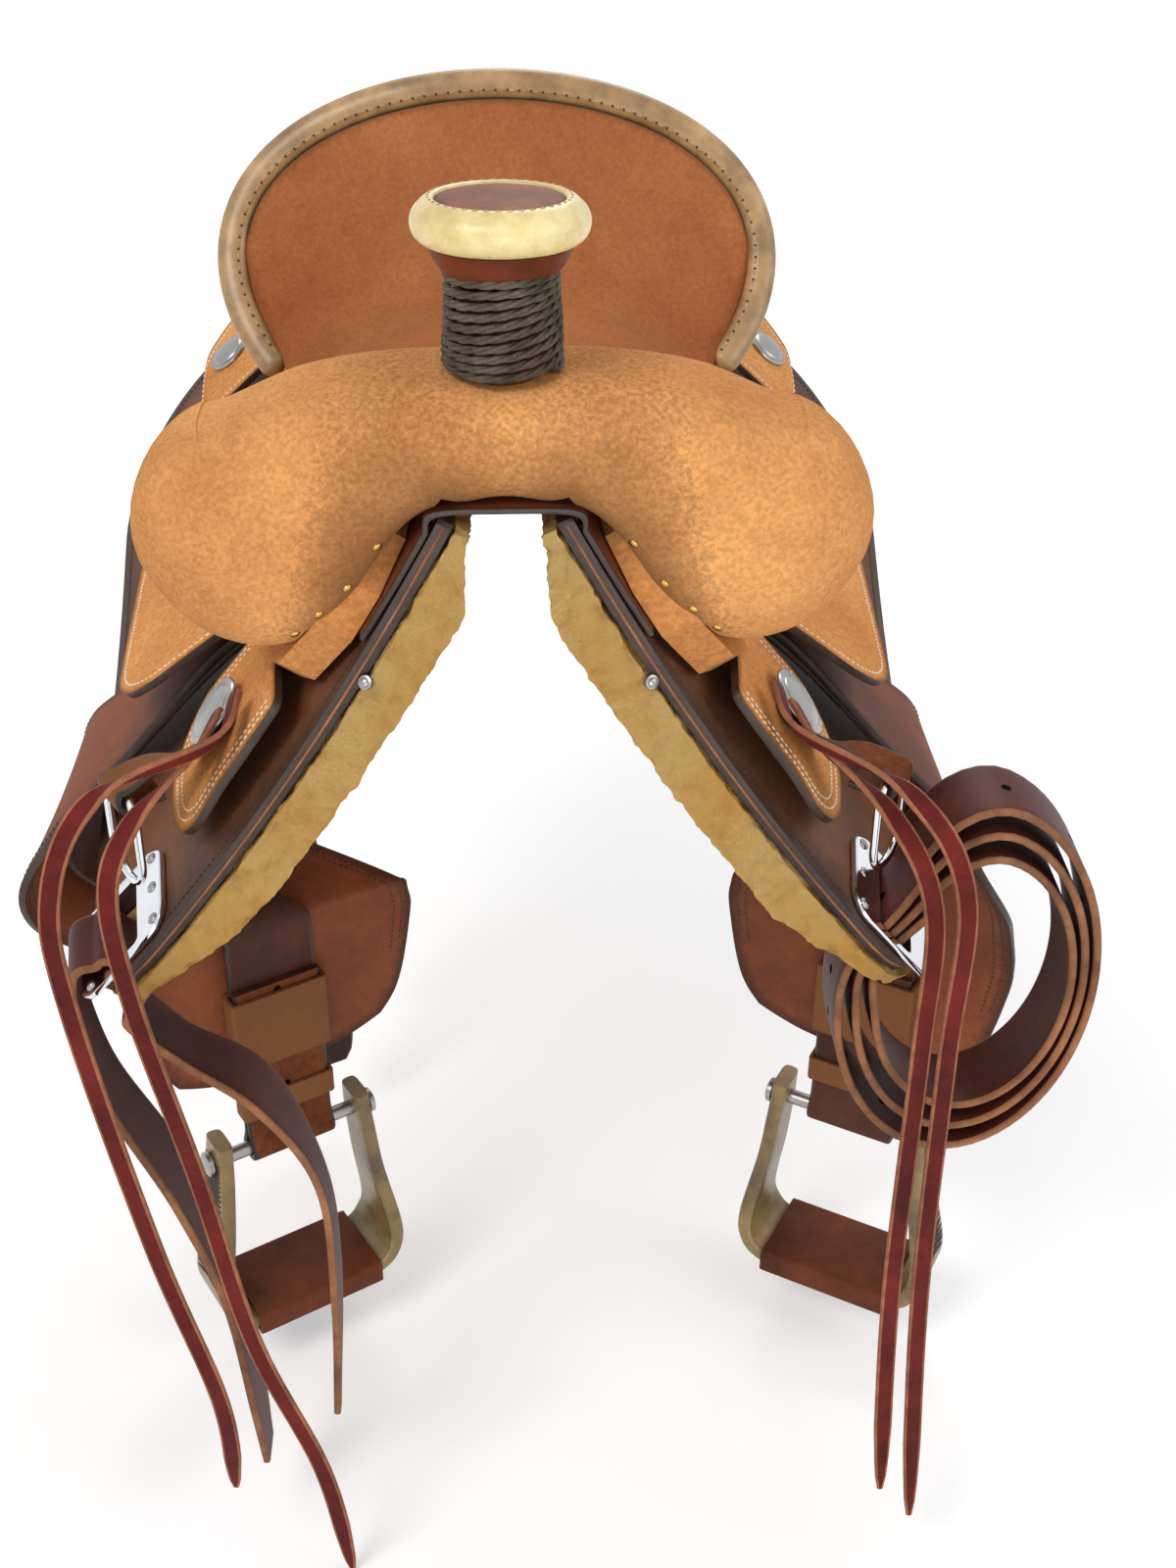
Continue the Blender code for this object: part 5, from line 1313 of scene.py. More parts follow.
def add_fleece(side, word):
    """The sheepskin under the skirt, its lower face and edges raised in tufts."""
    outline = skirt_outline(FLEECE_MARGIN)

    def spot(s, t, face):
        y, down = outline(s, t)
        top = -SKIRT_THICK - LAYER_GAP
        return back(side, y, down, top if face else fleece_under(y, down))

    form = grid(210, 130)
    made = bmesh.ops.extrude_face_region(form, geom=form.faces[:])
    outer = {item for item in made["geom"] if isinstance(item, bmesh.types.BMVert)}
    walls = [e for e in form.edges if sum(vert in outer for vert in e.verts) == 1]
    for vert in form.verts:
        vert.co = spot(vert.co.x, vert.co.y, 1 if vert in outer else 0)
    bmesh.ops.subdivide_edges(form, edges=walls, cuts=7, use_grid_fill=True)
    bmesh.ops.recalc_face_normals(form, faces=form.faces)
    form.normal_update()
    # The tufts' height, which the wool's painted shade darkens where it is low.
    layer = form.verts.layers.float.new("tuft")
    moves = []
    for vert in form.verts:
        place = vert.co
        lock = noise.noise(place * 90.0) + 0.8 * noise.noise(place * 210.0 + Vector((3.1, 0.0, 7.7)))
        fine = noise.noise(place * 480.0)
        high = 0.0017 * lock + 0.0008 * fine - 0.0010
        vert[layer] = lock + 0.4 * fine
        moves.append((vert, vert.normal * high * (0.0 if vert in outer else 1.0)))
    for vert, move in moves:
        vert.co += move
    form = carved(form, slot_tool(side, SLOT_MARGIN))
    form.normal_update()
    add_fleece_screw(form, side, word)
    piece(f"{word}_sheepskin_wool", form, (WOOL,), "saddle", "wool", (f"sheepskin_{word}",), 70.0)


def add_fleece_screw(wool_form, side, word):
    """The screw and washer that hold the wool at its front edge."""
    target = Vector((FLEECE_SCREW.x * side, FLEECE_SCREW.y, FLEECE_SCREW.z))
    near = min(wool_form.verts, key=lambda item: (item.co - target).length)
    washer = turned([(0.0, -0.002), (0.0036, -0.002), (0.0036, 0.0006), (0.0024, 0.0009), (0.0022, 0.0018),
                     (0.0014, 0.0024), (0.0, 0.0025)], 24)
    facing = (near.normal + Vector((0.0, -0.6, 0.3))).normalized()
    turn = facing.to_track_quat("Z", "Y").to_matrix().to_4x4()
    washer.transform(Matrix.Translation(near.co + facing * 0.001) @ turn)
    piece(f"{word}_fleece_screw", washer, (STEEL,), "saddle", "steel")


# Swell, tree and horn


def add_swell():
    """The swell's leather, cut away over the bars and the gullet, and the gullet's lining."""
    cover = swell_form(0.0, 72, 12, 72)

    def under(side):
        def spot(s, t, face):
            y = mix(-0.110, 0.140, s)
            down = mix(-0.012, 0.270, t)
            low = BAR_SEAT - LAYER_GAP if y < BAR_FRONT - LAYER_GAP else BAR_SEAT + BAR_THICK + 2 * LAYER_GAP
            return back(side, y, down, low if face else -0.070)

        return slab(spot, 60, 14, 0.0)

    def channel(s, t, face):
        point = lining_point((2.0 * s - 1.0) * 0.6, mix(-0.10, 0.14, t), LINING_THICK + 0.0016)
        return point if face else point - Vector((0.0, 0.0, 0.080))

    tools = [set_finish(tool, 1) for tool in (under(1), under(-1), slab(channel, 40, 6, 0.0))]
    form = carved(cover, *tools)
    mark_rim(form)
    layer = form.verts.layers.float["rim"]
    form.normal_update()
    add_tacks(form, layer)
    # Painted shade under the swell: the darkening stays near the gullet and fades out towards the lobes.
    for vert in form.verts:
        vert[layer] += 0.050 * smooth((abs(vert.co.x) - 0.070) / 0.060)
    piece("swell_leather", form, (COVER, GULLET), "saddle", "roughout", ("swell_cover",), 50.0)

    def lining(s, t, face):
        y = SKIRT_FRONT - 0.002 + LINING_DEPTH * t
        return lining_point(2.0 * s - 1.0, y, 0.0010 + LINING_THICK * face)

    piece("gullet_leather", slab(lining, 80, 20, 0.0008), (GULLET, EDGE, GULLET), "saddle", "tan",
          ("gullet_lining",))


def add_tacks(form, layer):
    """Brass tacks just above the gullet's edge, at the front of the swell."""
    edge = [vert for vert in form.verts if 0.003 < vert[layer] < 0.0065 and vert.normal.y < -0.25]
    tacks = bmesh.new()
    for side in SIDES:
        for across in (0.060, 0.074, 0.088, 0.100):
            vert = min(edge, key=lambda item: abs(item.co.x - side * across))
            turn = vert.normal.to_track_quat("Z", "Y").to_matrix()
            ball(tacks, vert.co, 0.0026, (1.0, 1.0, 0.45), turn, 2)
    piece("gullet_tacks", tacks, (BRASS,), "saddle", "steel")


def horn_turns():
    """The turn of the horn's neck, and that of its cap."""
    lean = Matrix.Translation(HORN_FOOT) @ Matrix.Rotation(HORN_LEAN, 4, "X")
    head = Matrix.Translation((0.0, 0.0, HORN_NECK_HEIGHT))
    return lean, lean @ head @ Matrix.Rotation(-HORN_LEAN - HORN_CAP_LEAN, 4, "X")


HORN_LOW = HORN_CONE_HEIGHT + GAP
HORN_TOP = HORN_LOW + HORN_CAP_THICK
CONE_FOOT = HORN_NECK_RADIUS + 0.0025
CONE_HEAD = HORN_CAP_RADIUS - 0.007
RIM_ROLL = 0.0085


def add_horn():
    """The leather cone and neck, the rawhide rim with its lacing, the cap and the wrap."""
    lean, tilt = horn_turns()
    add_horn_neck(lean, tilt)
    add_horn_rim(tilt)
    add_horn_cap(tilt)
    add_wrap(lean)


def add_horn_neck(lean, tilt):
    profile = [(0.0, GAP), (CONE_FOOT, GAP)]
    for step in range(1, 13):
        share = step / 12
        radius = mix(CONE_FOOT, CONE_HEAD, share ** 0.85)
        profile.append((radius, GAP + (HORN_CONE_HEIGHT - GAP) * share ** 1.25))
    profile.append((0.0, HORN_CONE_HEIGHT))
    cone = turned(profile, 72)
    cone.transform(tilt)
    neck = turned([(0.0, 0.003), (HORN_NECK_RADIUS, 0.003), (HORN_NECK_RADIUS, HORN_NECK_HEIGHT),
                   (0.0, HORN_NECK_HEIGHT)], 48)
    neck.transform(lean)
    piece("horn_cone_leather", join(cone, neck), (CONE,), "saddle", "tan", ("horn_neck",))


def add_horn_rim(tilt):
    """The rolled rawhide rim round the cap, and the lacing along its inner edge."""
    disc = HORN_DISC_RADIUS
    high = HORN_CAP_THICK * 0.5 * 0.92
    foot = HORN_CAP_RADIUS - RIM_ROLL
    profile = [(disc + GAP, HORN_LOW), (foot, HORN_LOW)]
    for step in range(21):
        turn = math.radians(-80.0 + 135.0 * step / 20)
        profile.append((foot + RIM_ROLL * math.cos(turn), HORN_LOW + high + high * math.sin(turn)))
    rise = profile[-1]
    for step in range(1, 7):
        share = step / 6
        profile.append((mix(rise[0], disc + 0.0022, share), mix(rise[1], HORN_TOP, 1.0 - (1.0 - share) ** 2)))
    profile += [(disc + 0.0012, HORN_TOP - 0.0003), (disc + 0.0006, HORN_TOP - 0.0010)]
    profile += [(disc + GAP, HORN_TOP - 0.0024), (disc + GAP, HORN_LOW)]
    rim = turned(profile, 96)
    rim.transform(tilt)
    piece("horn_rim_hide", rim, (PALE_HIDE,), "saddle", "rawhide", ("horn_rim",))
    ring = []
    for step in range(181):
        angle = math.tau * step / 180
        way = Vector((math.cos(angle), math.sin(angle), 0.0))
        place = tilt @ (way * (disc + 0.0030) + Vector((0.0, 0.0, HORN_TOP - 0.0002)))
        ring.append((place, tilt.to_3x3() @ Vector((0.0, 0.0, 1.0))))
    piece("horn_rim_lacing", stitches(ring, 0.0050, 0.0034, 0.0007), (LACE,), "saddle", "rawhide")


def add_horn_cap(tilt):
    """The leather disc on top: a rounded edge and a slight dome."""
    disc = HORN_DISC_RADIUS
    side_top = HORN_LOW + HORN_CAP_THICK * 0.90
    profile = [(0.0, HORN_LOW), (disc, HORN_LOW), (disc, side_top)]
    for a in (0.5, 1.0, 1.57):
        profile.append((disc - 0.0022 * (1.0 - math.cos(a)), side_top + 0.0014 * math.sin(a)))
    for share in (0.8, 0.6, 0.4, 0.2, 0.0):
        profile.append((disc * share, side_top + 0.0014 + 0.0012 * (1.0 - share ** 2)))
    cap = turned(profile, 96)
    cap.transform(tilt)
    piece("horn_cap_leather", cap, (CAP,), "saddle", "tan", ("horn_cap",))


def add_wrap(lean):
    """The cord round the horn's neck: three strands twisted together."""
    start = 0.0102 + WRAP_CORD / 2
    height = HORN_NECK_HEIGHT + 0.0042 - start
    count = round(height / WRAP_PITCH * 96)
    slant = 0.0042
    foot_lean = math.tan(WRAP_LEAN)
    head_lean = math.tan(HORN_LEAN + HORN_CAP_LEAN)
    strand = WRAP_CORD * 0.26
    forms = []
    for strand_place in range(3):
        points = []
        for i in range(-6, count + 7):
            angle = math.tau * i / 96
            rise = WRAP_PITCH * i / 96
            share = smooth(rise / height)
            flare = HORN_FOOT_FLARE * (1.0 - share) + 0.0015 * share
            radius = HORN_NECK_RADIUS + GAP + WRAP_CORD / 2 + flare
            twist = angle * radius / 0.0085 * 2.1 + math.tau * strand_place / 3
            out = radius + strand * 0.92 * math.cos(twist)
            across = out * math.sin(angle)
            lean_here = mix(foot_lean, head_lean, share)
            high = rise + start - lean_here * radius * math.sin(angle) + strand * 0.92 * math.sin(twist)
            high += slant * math.sin(math.pi * min(max(rise / height, 0.0), 1.0)) * math.cos(angle)
            points.append(lean @ Vector((out * math.cos(angle), across, high)))
        forms.append(rod(points, strand, 7))
    piece("horn_wrap_cord", join(*forms), (ROPE,), "saddle", "rope", ("horn_wrap",), 80.0)


# Seat and cantle

LACE_PITCH = 0.0075
LACE_TURN = math.radians(56.0)
BINDING_END = 0.012


def add_seat():
    """The suede seat on its ground seat, the cantle's back and the binding round its rim."""
    add_seat_leather()
    add_ground_seat()
    add_cantle_back()
    add_binding()


def add_seat_leather():
    """The seat's leather; at its ears it runs on to the binding, which the solid stops short of."""

    def spot(s, t, face):
        u = 2.0 * t - 1.0
        ear = seat_end(u)
        place = seat_point(u, min(s, ear))
        if s > ear:
            here, _, inward, outward = rim_frame(u)
            welt = here + inward * (BINDING_WIDTH * 0.30) - outward * (BINDING_THICK * 0.30)
            place = mix(place, welt, (s - ear) / (1.0 - ear))
        return place - seat_normal(u, min(s, ear)) * (SEAT_THICK * (1 - face))

    piece("seat_suede", slab(spot, 110, 120, 0.0012), (SUEDE, EDGE, UNDER), "saddle", "suede",
          ("seat_leather",), 60.0)


def add_ground_seat():
    """The stiff leather under the seat, cut away where it meets the two bars."""
    deep = SEAT_THICK + 3 * LAYER_GAP
    form = slab(seat_sheet(deep, GROUND_THICK, GROUND_SPAN, 0.0, FOOT_V - 0.06), 40, 30, 0.0008)
    tools = [slab(laid(side, bar_outline(LAYER_GAP), -0.004, BAR_SEAT + BAR_THICK + 0.0046), 24, 8, 0.0)
             for side in (1, -1)]
    piece("ground_seat_leather", carved(form, *tools), (UNDER, EDGE, UNDER), "saddle", "brown",
          ("ground_seat",))


def add_cantle_back():
    """The leather over the cantle's rear face."""

    def spot(s, t, face):
        u = (2.0 * s - 1.0) * CANTLE_SPAN
        step = 0.04
        along = cantle_rear(u + step, t) - cantle_rear(u - step, t)
        across = cantle_rear(u, min(t + step, 1.0)) - cantle_rear(u, max(t - step, 0.0))
        out = along.cross(across).normalized()
        if out.dot(Vector((u, 1.0, 0.0))) < 0:
            out = -out
        return cantle_rear(u, mix(0.05, 1.0, t)) + out * (LAYER_GAP + CANTLE_BACK_THICK * face)

    piece("cantle_back_leather", slab(spot, 90, 24, 0.0008), (ROUGHOUT, EDGE, UNDER), "saddle", "roughout",
          ("cantle_back",))


def add_binding():
    """The rolled rawhide round the cantle's rim, its lacing, and dark marks of painted shade for the holes
    between its stitches.
    """

    def spot(s, t):
        here, _, inward, face = rim_frame(2.0 * s - 1.0)
        turn = math.tau * t
        close = min(s, 1.0 - s) / BINDING_END
        size = math.sqrt(max(1.0 - max(1.0 - close, 0.0) ** 2, 0.0)) if close < 1.0 else 1.0
        wide = BINDING_WIDTH / 2 * math.cos(turn) * size
        return here + inward * wide + face * (BINDING_THICK / 2 * math.sin(turn) * size)

    piece("cantle_binding_hide", tube(spot, 220, 24), (RAWHIDE,), "saddle", "rawhide",
          ("cantle_binding",), 60.0)
    line = []
    for i in range(401):
        here, _, inward, face = rim_frame(2.0 * mix(BINDING_END, 1.0 - BINDING_END, i / 400) - 1.0)
        out = (inward * math.cos(LACE_TURN) * 0.75 + face * math.sin(LACE_TURN)).normalized()
        wide = BINDING_WIDTH / 2 * math.cos(LACE_TURN)
        line.append((here + inward * wide + face * (BINDING_THICK / 2 * math.sin(LACE_TURN)), out))
    piece("binding_lacing", stitches(line, LACE_PITCH, 0.0048, 0.0008), (LACE,), "saddle", "rawhide")
    # Dark marks between the stitches: painted shade for the lace holes.
    between = [(place + out * 0.0001, out) for place, out in shifted(line, LACE_PITCH / 2)]
    piece("binding_hole_shade", stitches(between, LACE_PITCH, 0.0016, 0.0010), (DARK_THREAD,), "saddle", "rawhide")


# Jockeys


def side_lift(_, down):
    """The side jockey's height over the back: it flares out below the bar."""
    return SIDE_JOCKEY_LIFT + SIDE_JOCKEY_FLARE * smooth((down - BAR_DROP) / 0.10)


def raised(lift):
    """The height of a jockey's upper face, from that of its lower one."""
    return lambda y, down: lift(y, down) + JOCKEY_THICK


def add_jockeys():
    """The front, side and rear jockey of each side, each with its rows of thread."""
    front = panel(FRONT_JOCKEY_FRONT, FRONT_JOCKEY_REAR, (FRONT_JOCKEY_TOP,) * 2, (FRONT_JOCKEY_DROP,) * 2,
                  (0.006, 0.035, 0.006, 0.045), (-0.05, 0.0))
    middle = panel(SIDE_JOCKEY_FRONT, SIDE_JOCKEY_REAR, (0.078, 0.112),
                   (SIDE_JOCKEY_DROP, SIDE_JOCKEY_DROP - 0.03), (0.004, 0.050, 0.030, 0.066))
    rear = panel(REAR_JOCKEY_FRONT, REAR_JOCKEY_REAR, (0.002, -0.026),
                 (REAR_JOCKEY_DROP, REAR_JOCKEY_DROP - 0.03), (0.004, 0.050, 0.030, 0.080),
                 (REAR_JOCKEY_LEAN, -0.05))
    jockeys = (
        # name, outline, lift, rows, columns, steps along its thread, name and inset of each thread
        ("front_jockey", front, front_lift, 50, 50, 30, (("thread_6", 0.006), ("thread_12", 0.0115))),
        ("side_jockey", middle, side_lift, 90, 40, 40, (("thread", 0.006),)),
        ("rear_jockey", rear, rear_lift, 60, 70, 40, (("thread", 0.006),)),
    )
    for side, word in SIDES.items():
        for name, outline, lift, rows, columns, steps, threads in jockeys:
            form = slab(laid(side, outline, lift, JOCKEY_THICK), rows, columns)
            piece(f"{word}_{name}_leather", form, (ROUGHOUT, EDGE, UNDER), "saddle", "roughout",
                  (f"{name}_{word}",))
            for thread, inset in threads:
                line = on_back(side, raised(lift), around_outline(outline, inset, steps))
                piece(f"{word}_{name}_{thread}", stitches(line), (THREAD,), "saddle", "roughout")


# Straps on the rigging


BILLET_HOLE = 0.0028
STIRRUP_HOLE = 0.0026
HOLE_FLAT = 0.12
COIL_STEP = 0.02


def add_latigo():
    """The near side's long tie strap, wound in three turns through its slot."""
    count = int(COIL_SWEEP / math.tau * 90)
    half = STRAP_THICK / 2
    flat = 6
    section = strap_section(flat, 1.0)
    sides = len(section)

    def coil_up(turn):
        """The way out of the coil's face here."""
        ahead = (coil_point(turn + COIL_STEP) - coil_point(turn - COIL_STEP)).normalized()
        return Vector((ahead.z, 0.0, -ahead.x))

    def spot(s, t):
        turn = COIL_START + COIL_SWEEP * s
        share, out, high = section[round(t * sides) % sides]
        wide = share * (STRAP_WIDTH / 2 - half) + out * half
        return coil_point(turn) + Vector((0.0, wide, 0.0)) + coil_up(turn) * (half * high)

    form = tube(spot, count, sides, strap_finish(flat, sides))
    piece("latigo_strap", form, (LATIGO, LATIGO_EDGE, LATIGO), "latigo", "dark", ("latigo_coil",))
    # Dark discs on both faces at the punched holes: painted shade for the holes.
    holes = []
    for step in range(16):
        turn = COIL_START + COIL_SWEEP - 0.5 - 0.42 * step
        up = coil_up(turn)
        holes += [(coil_point(turn) + up * half * way, up * way) for way in (1, -1)]
    piece("latigo_hole_shade", studs(holes, BILLET_HOLE, HOLE_FLAT), (HOLE_SHADE,), "latigo", "dark")


def add_off_billet():
    """The off side's strap, doubled through its slot, with a short and a long end."""
    y = STRAP_Y
    near = STRAP_THICK / 2 + FOLD_GAP
    plate = 2 * LAYER_GAP + GAP + PLATE_THICK
    under = fleece_under(y, SLOT_DROP) - 2 * LAYER_GAP
    points = [
        Vector((-0.116, y, -0.632)),
        Vector((-0.110, y, -0.520)),
        Vector((-0.114, y, -0.430)),
        Vector((-0.142, y, -0.362)),
        Vector((-0.184, y, -0.326)),
        back(-1, y, SLOT_DROP + 0.030, under - near - 0.010),
        back(-1, y, SLOT_DROP + 0.014, under - near - 0.0042),
        back(-1, y, SLOT_DROP + 0.0015, under - near - 0.0014),
        back(-1, y, SLOT_DROP - near, under + 0.002),
        back(-1, y, SLOT_DROP - near, -0.006),
        back(-1, y, SLOT_DROP - near, plate - near),
        back(-1, y, SLOT_DROP - near * 0.4, plate + near * 0.6),
        back(-1, y, SLOT_DROP + near, plate + near),
        back(-1, y, SLOT_DROP + 0.024, plate + near + 0.001),
        Vector((-0.229, y, -0.345)),
        Vector((-0.196, y, -0.430)),
        Vector((-0.176, y, -0.520)),
        Vector((-0.166, y, -0.610)),
        Vector((-0.163, y, -0.668)),
    ]
    flat = Vector((0.0, 1.0, 0.0))
    across = [flat] * 4 + [back_run(-1, y, SLOT_DROP)] * 10 + [flat] * 5
    widths = [0.012, 0.040, 0.026, 0.044, 0.038, 0.044, 0.044, 0.044, 0.044, 0.044]
    widths += [0.044, 0.044, 0.044, 0.040, 0.038, 0.045, 0.030, 0.040, 0.026]
    form = strap(points, across, widths, STRAP_THICK, 240, flat=6)
    piece("off_billet_strap", form, (LATIGO, LATIGO_EDGE, LATIGO), "off_billet", "dark", ("off_billet",))


REAR_BILLET_ENDS = {
    1: [Vector((0.226, 0.360, -0.345)), Vector((0.226, 0.360, -0.430)), Vector((0.225, 0.360, -0.524))],
    -1: [Vector((-0.190, 0.362, -0.380)), Vector((-0.160, 0.362, -0.510)), Vector((-0.140, 0.362, -0.655))],
}


def add_rear_billets():
    """The straps that hang from under each skirt's rear, with painted shade for their holes."""
    for side, word in SIDES.items():
        y = REAR_BILLET_Y
        low = fleece_under(y, REAR_BILLET_DOWN) - STRAP_THICK / 2 - LAYER_GAP
        top = back(side, y, REAR_BILLET_DOWN, low)
        points = [
            top,
            back(side, y, REAR_BILLET_DOWN + 0.016, low - 0.0014),
            back(side, y, REAR_BILLET_DOWN + 0.034, low - 0.0105),
        ]
        ends = REAR_BILLET_ENDS[side]
        points += [mix(points[2], ends[0], 0.34) + Vector((0.005 * side, 0.0, 0.003))] + ends
        flat = Vector((0.0, 1.0, 0.0))
        turned_way = Vector((0.94 * side, -0.34, 0.0))
        run = back_run(side, y, REAR_BILLET_DOWN)
        turns = [mix(flat, turned_way, 0.3), mix(flat, turned_way, 0.75)]
        across = [run, run, run] + turns + [turned_way, turned_way]
        form = strap(points, across, [0.045, 0.046], STRAP_THICK, 110, flat=6, tip=7)
        hide, slot = (LATIGO, "dark") if side > 0 else (BLACK, "black")
        piece(f"{word}_rear_billet_strap", form, (hide, EDGE, hide), f"{word}_rear_billet", slot,
              (f"rear_billet_{word}",))
        # Dark discs on both faces at the punched holes: painted shade for the holes.
        shares = [0.42 + 0.085 * step for step in range(6)]
        holes = [spot for lift in (STRAP_THICK / 2, -STRAP_THICK / 2)
                 for spot in strap_spots(points, across, lift, shares)]
        piece(f"{word}_billet_hole_shade", studs(holes, BILLET_HOLE, HOLE_FLAT), (HOLE_SHADE,),
              f"{word}_rear_billet", slot)


# Conchos, dee straps and dee rings


CONCHO_EDGE = ((0.0, 0.0), (1.0, 0.0), (1.0, 0.3), (0.97, 0.6), (0.90, 0.72), (0.84, 0.62), (0.80, 0.66))


def add_concho(side, word, place, y, down, radius, low):
    """A steel disc with a rolled edge and a domed middle, as shares of its radius and thickness."""
    profile = [(radius * share, CONCHO_THICK * high) for share, high in CONCHO_EDGE]
    profile += [(radius * 0.78 * math.cos(a), CONCHO_THICK * (0.66 + 0.94 * math.sin(a)))
                for a in (0.0, 0.25, 0.5, 0.75, 1.0, 1.25, math.pi / 2)]
    form = turned(profile, 64)
    normal = back_normal(y, down)
    normal.x *= side
    turn = normal.to_track_quat("Z", "Y").to_matrix().to_4x4()
    form.transform(Matrix.Translation(back(side, y, down, low)) @ turn)
    piece(f"{word}_{place}_concho_disc", form, (STEEL,), "saddle", "steel", (f"{place}_concho_{word}",))


def add_hardware():
    """Each side's two conchos, dee strap and dee ring."""
    front = front_lift(CONCHO_Y, CONCHO_DOWN) + JOCKEY_THICK + DEE_STRAP_THICK + 8 * GAP
    rear = rear_lift(REAR_CONCHO_Y, REAR_CONCHO_DOWN) + JOCKEY_THICK + LAYER_GAP
    for side, word in SIDES.items():
        add_concho(side, word, "front", CONCHO_Y, CONCHO_DOWN, CONCHO_RADIUS, front)
        add_concho(side, word, "rear", REAR_CONCHO_Y, REAR_CONCHO_DOWN, REAR_CONCHO_RADIUS, rear)
        add_dee(side, word)


def add_dee(side, word):
    """The strap under the concho, folded round the dee ring's bar, and the ring."""
    axis = Vector((math.cos(DEE_YAW) * side, math.sin(DEE_YAW), 0.0))
    out = Vector((math.sin(DEE_YAW) * side, -math.cos(DEE_YAW), 0.0))
    up = Vector((0.0, 0.0, 1.0))
    bar = Vector((DEE_BAR.x * side, DEE_BAR.y, DEE_BAR.z))
    turn = DEE_WIRE / 2 + DEE_STRAP_THICK / 2 + 3 * SWING_GAP
    lift = front_lift(CONCHO_Y, CONCHO_DOWN) + JOCKEY_THICK + DEE_STRAP_THICK / 2 + 2 * GAP
    start = back(side, CONCHO_Y, CONCHO_DOWN, lift)
    rest = back(side, CONCHO_Y - 0.018, CONCHO_DOWN + 0.010, lift + 0.0015)
    points = [
        start,
        rest,
        mix(rest, bar, 0.55) + up * 0.006,
        bar + up * turn - out * 0.004,
        bar + (up + out).normalized() * turn,
        bar + (out - up).normalized() * turn,
        bar - up * turn - out * 0.002,
        bar - out * 0.020 - up * (turn - 0.001),
    ]
    normal = back_normal(CONCHO_Y, CONCHO_DOWN)
    normal.x *= side
    run = normal.cross(rest - start).normalized()
    if run.dot(axis) < 0:
        run = -run
    across = [run, run, mix(run, axis, 0.6), axis, axis, axis, axis, axis]
    wide = DEE_STRAP_WIDTH
    widths = [0.036, 0.040, wide, wide, wide, wide, wide, wide]
    form = strap(points, across, widths, DEE_STRAP_THICK, 110, flat=6)
    piece(f"{word}_dee_strap_leather", form, (TAN, EDGE, UNDER), "saddle", "tan", (f"dee_strap_{word}",))

    half_wide = DEE_WIDTH / 2 - DEE_WIRE / 2
    height = DEE_HEIGHT - DEE_WIRE
    corners = ((half_wide, 0.0, 90.0, 0.0), (half_wide, -height, 0.0, -90.0),
               (-half_wide, -height, -90.0, -180.0), (-half_wide, 0.0, 180.0, 90.0))
    ring = []
    for a, b, begin, end in corners:
        radius = DEE_CORNER if b == 0.0 else half_wide
        middle_a = a - math.copysign(radius, a)
        middle_b = b - radius if b == 0.0 else b + radius
        for step in range(13):
            angle = math.radians(mix(begin, end, step / 12))
            ring.append(bar + axis * (middle_a + radius * math.cos(angle))
                        + up * (middle_b + radius * math.sin(angle)))
    ring = [p for p, q in zip(ring, ring[1:] + ring[:1]) if (p - q).length > 1e-5]
    piece(f"{word}_dee", rod(ring, DEE_WIRE / 2 - 0.0002, 16, True), (CHROME,), f"{word}_dee", "chrome",
          (f"dee_ring_{word}",), 60.0)


# Stirrup leathers, fenders and stirrups


def collar(middle, wide, deep, along, half_wide, half_deep, wall, length, corner=0.003):
    """A leather band around a strap, with rounded corners and lips."""
    ways = []
    for quarter, (a, b) in enumerate(((1, 1), (-1, 1), (-1, -1), (1, -1))):
        for step in range(6):
            angle = math.radians(90.0 * quarter + 90.0 * step / 5)
            ways.append((a, b, math.cos(angle), math.sin(angle)))
    count = len(ways)
    profile = [(0.0, -0.46), (0.06, -0.5), (0.5, -0.504), (0.94, -0.5), (1.0, -0.46)]
    profile += [(1.0, -0.25), (1.0, 0.0), (1.0, 0.25)]
    profile += [(1.0, 0.46), (0.94, 0.5), (0.5, 0.504), (0.06, 0.5), (0.0, 0.46), (0.0, 0.0)]
    rings = len(profile)
    inner = 0.0006

    form = grid(count, rings)
    for vert in form.verts:
        a, b, x, y = ways[round(vert.co.x * count) % count]
        depth, high = profile[round(vert.co.y * rings) % rings]
        size = inner + (corner - inner) * depth
        grow = wall * depth
        reach_a = a * (half_wide + grow - size) + x * size
        reach_b = b * (half_deep + grow - size) + y * size
        vert.co = middle + wide * reach_a + deep * reach_b + along * (length * high)
    bmesh.ops.remove_doubles(form, verts=form.verts, dist=1e-7)
    bmesh.ops.recalc_face_normals(form, faces=form.faces)
    return form


STRAND_HALF = (LEATHER_THICK + STRAND_GAP) / 2
FENDER_THREADS = (0.035, 0.065)
FENDER_THREAD_TOP = 0.30
INNER_THREAD_FOOT = 0.86
FENDER_SHARES = (0.38, 0.40, 0.51, 0.69, 0.80, 0.89, 0.96, 1.0, 0.99, 0.87, 0.67)


def add_stirrup_side(side, word):
    """One side's stirrup leather, fender, buckle sleeve, hobble strap and stirrup."""
    points, yaws = leather_route(side)
    bolt = Vector((BOLT_X[side], BOLT_Y, BOLT_Z))
    ways = (yaw_way(side, LEATHER_YAW), out_way(side, LEATHER_YAW), Vector((0.0, 0.0, -1.0)))
    add_stirrup_leather(side, word, points, yaws, bolt, *ways)
    add_fender(side, word, points, yaws)
    add_collars(side, word, bolt, *ways)
    bow_points, widths = add_bow(word, bolt, *ways)
    add_bow_lacing(side, word, bow_points, widths, *ways[:2])
    add_bolt(word, bolt, ways[0])
    add_tread(word, bolt, *ways)


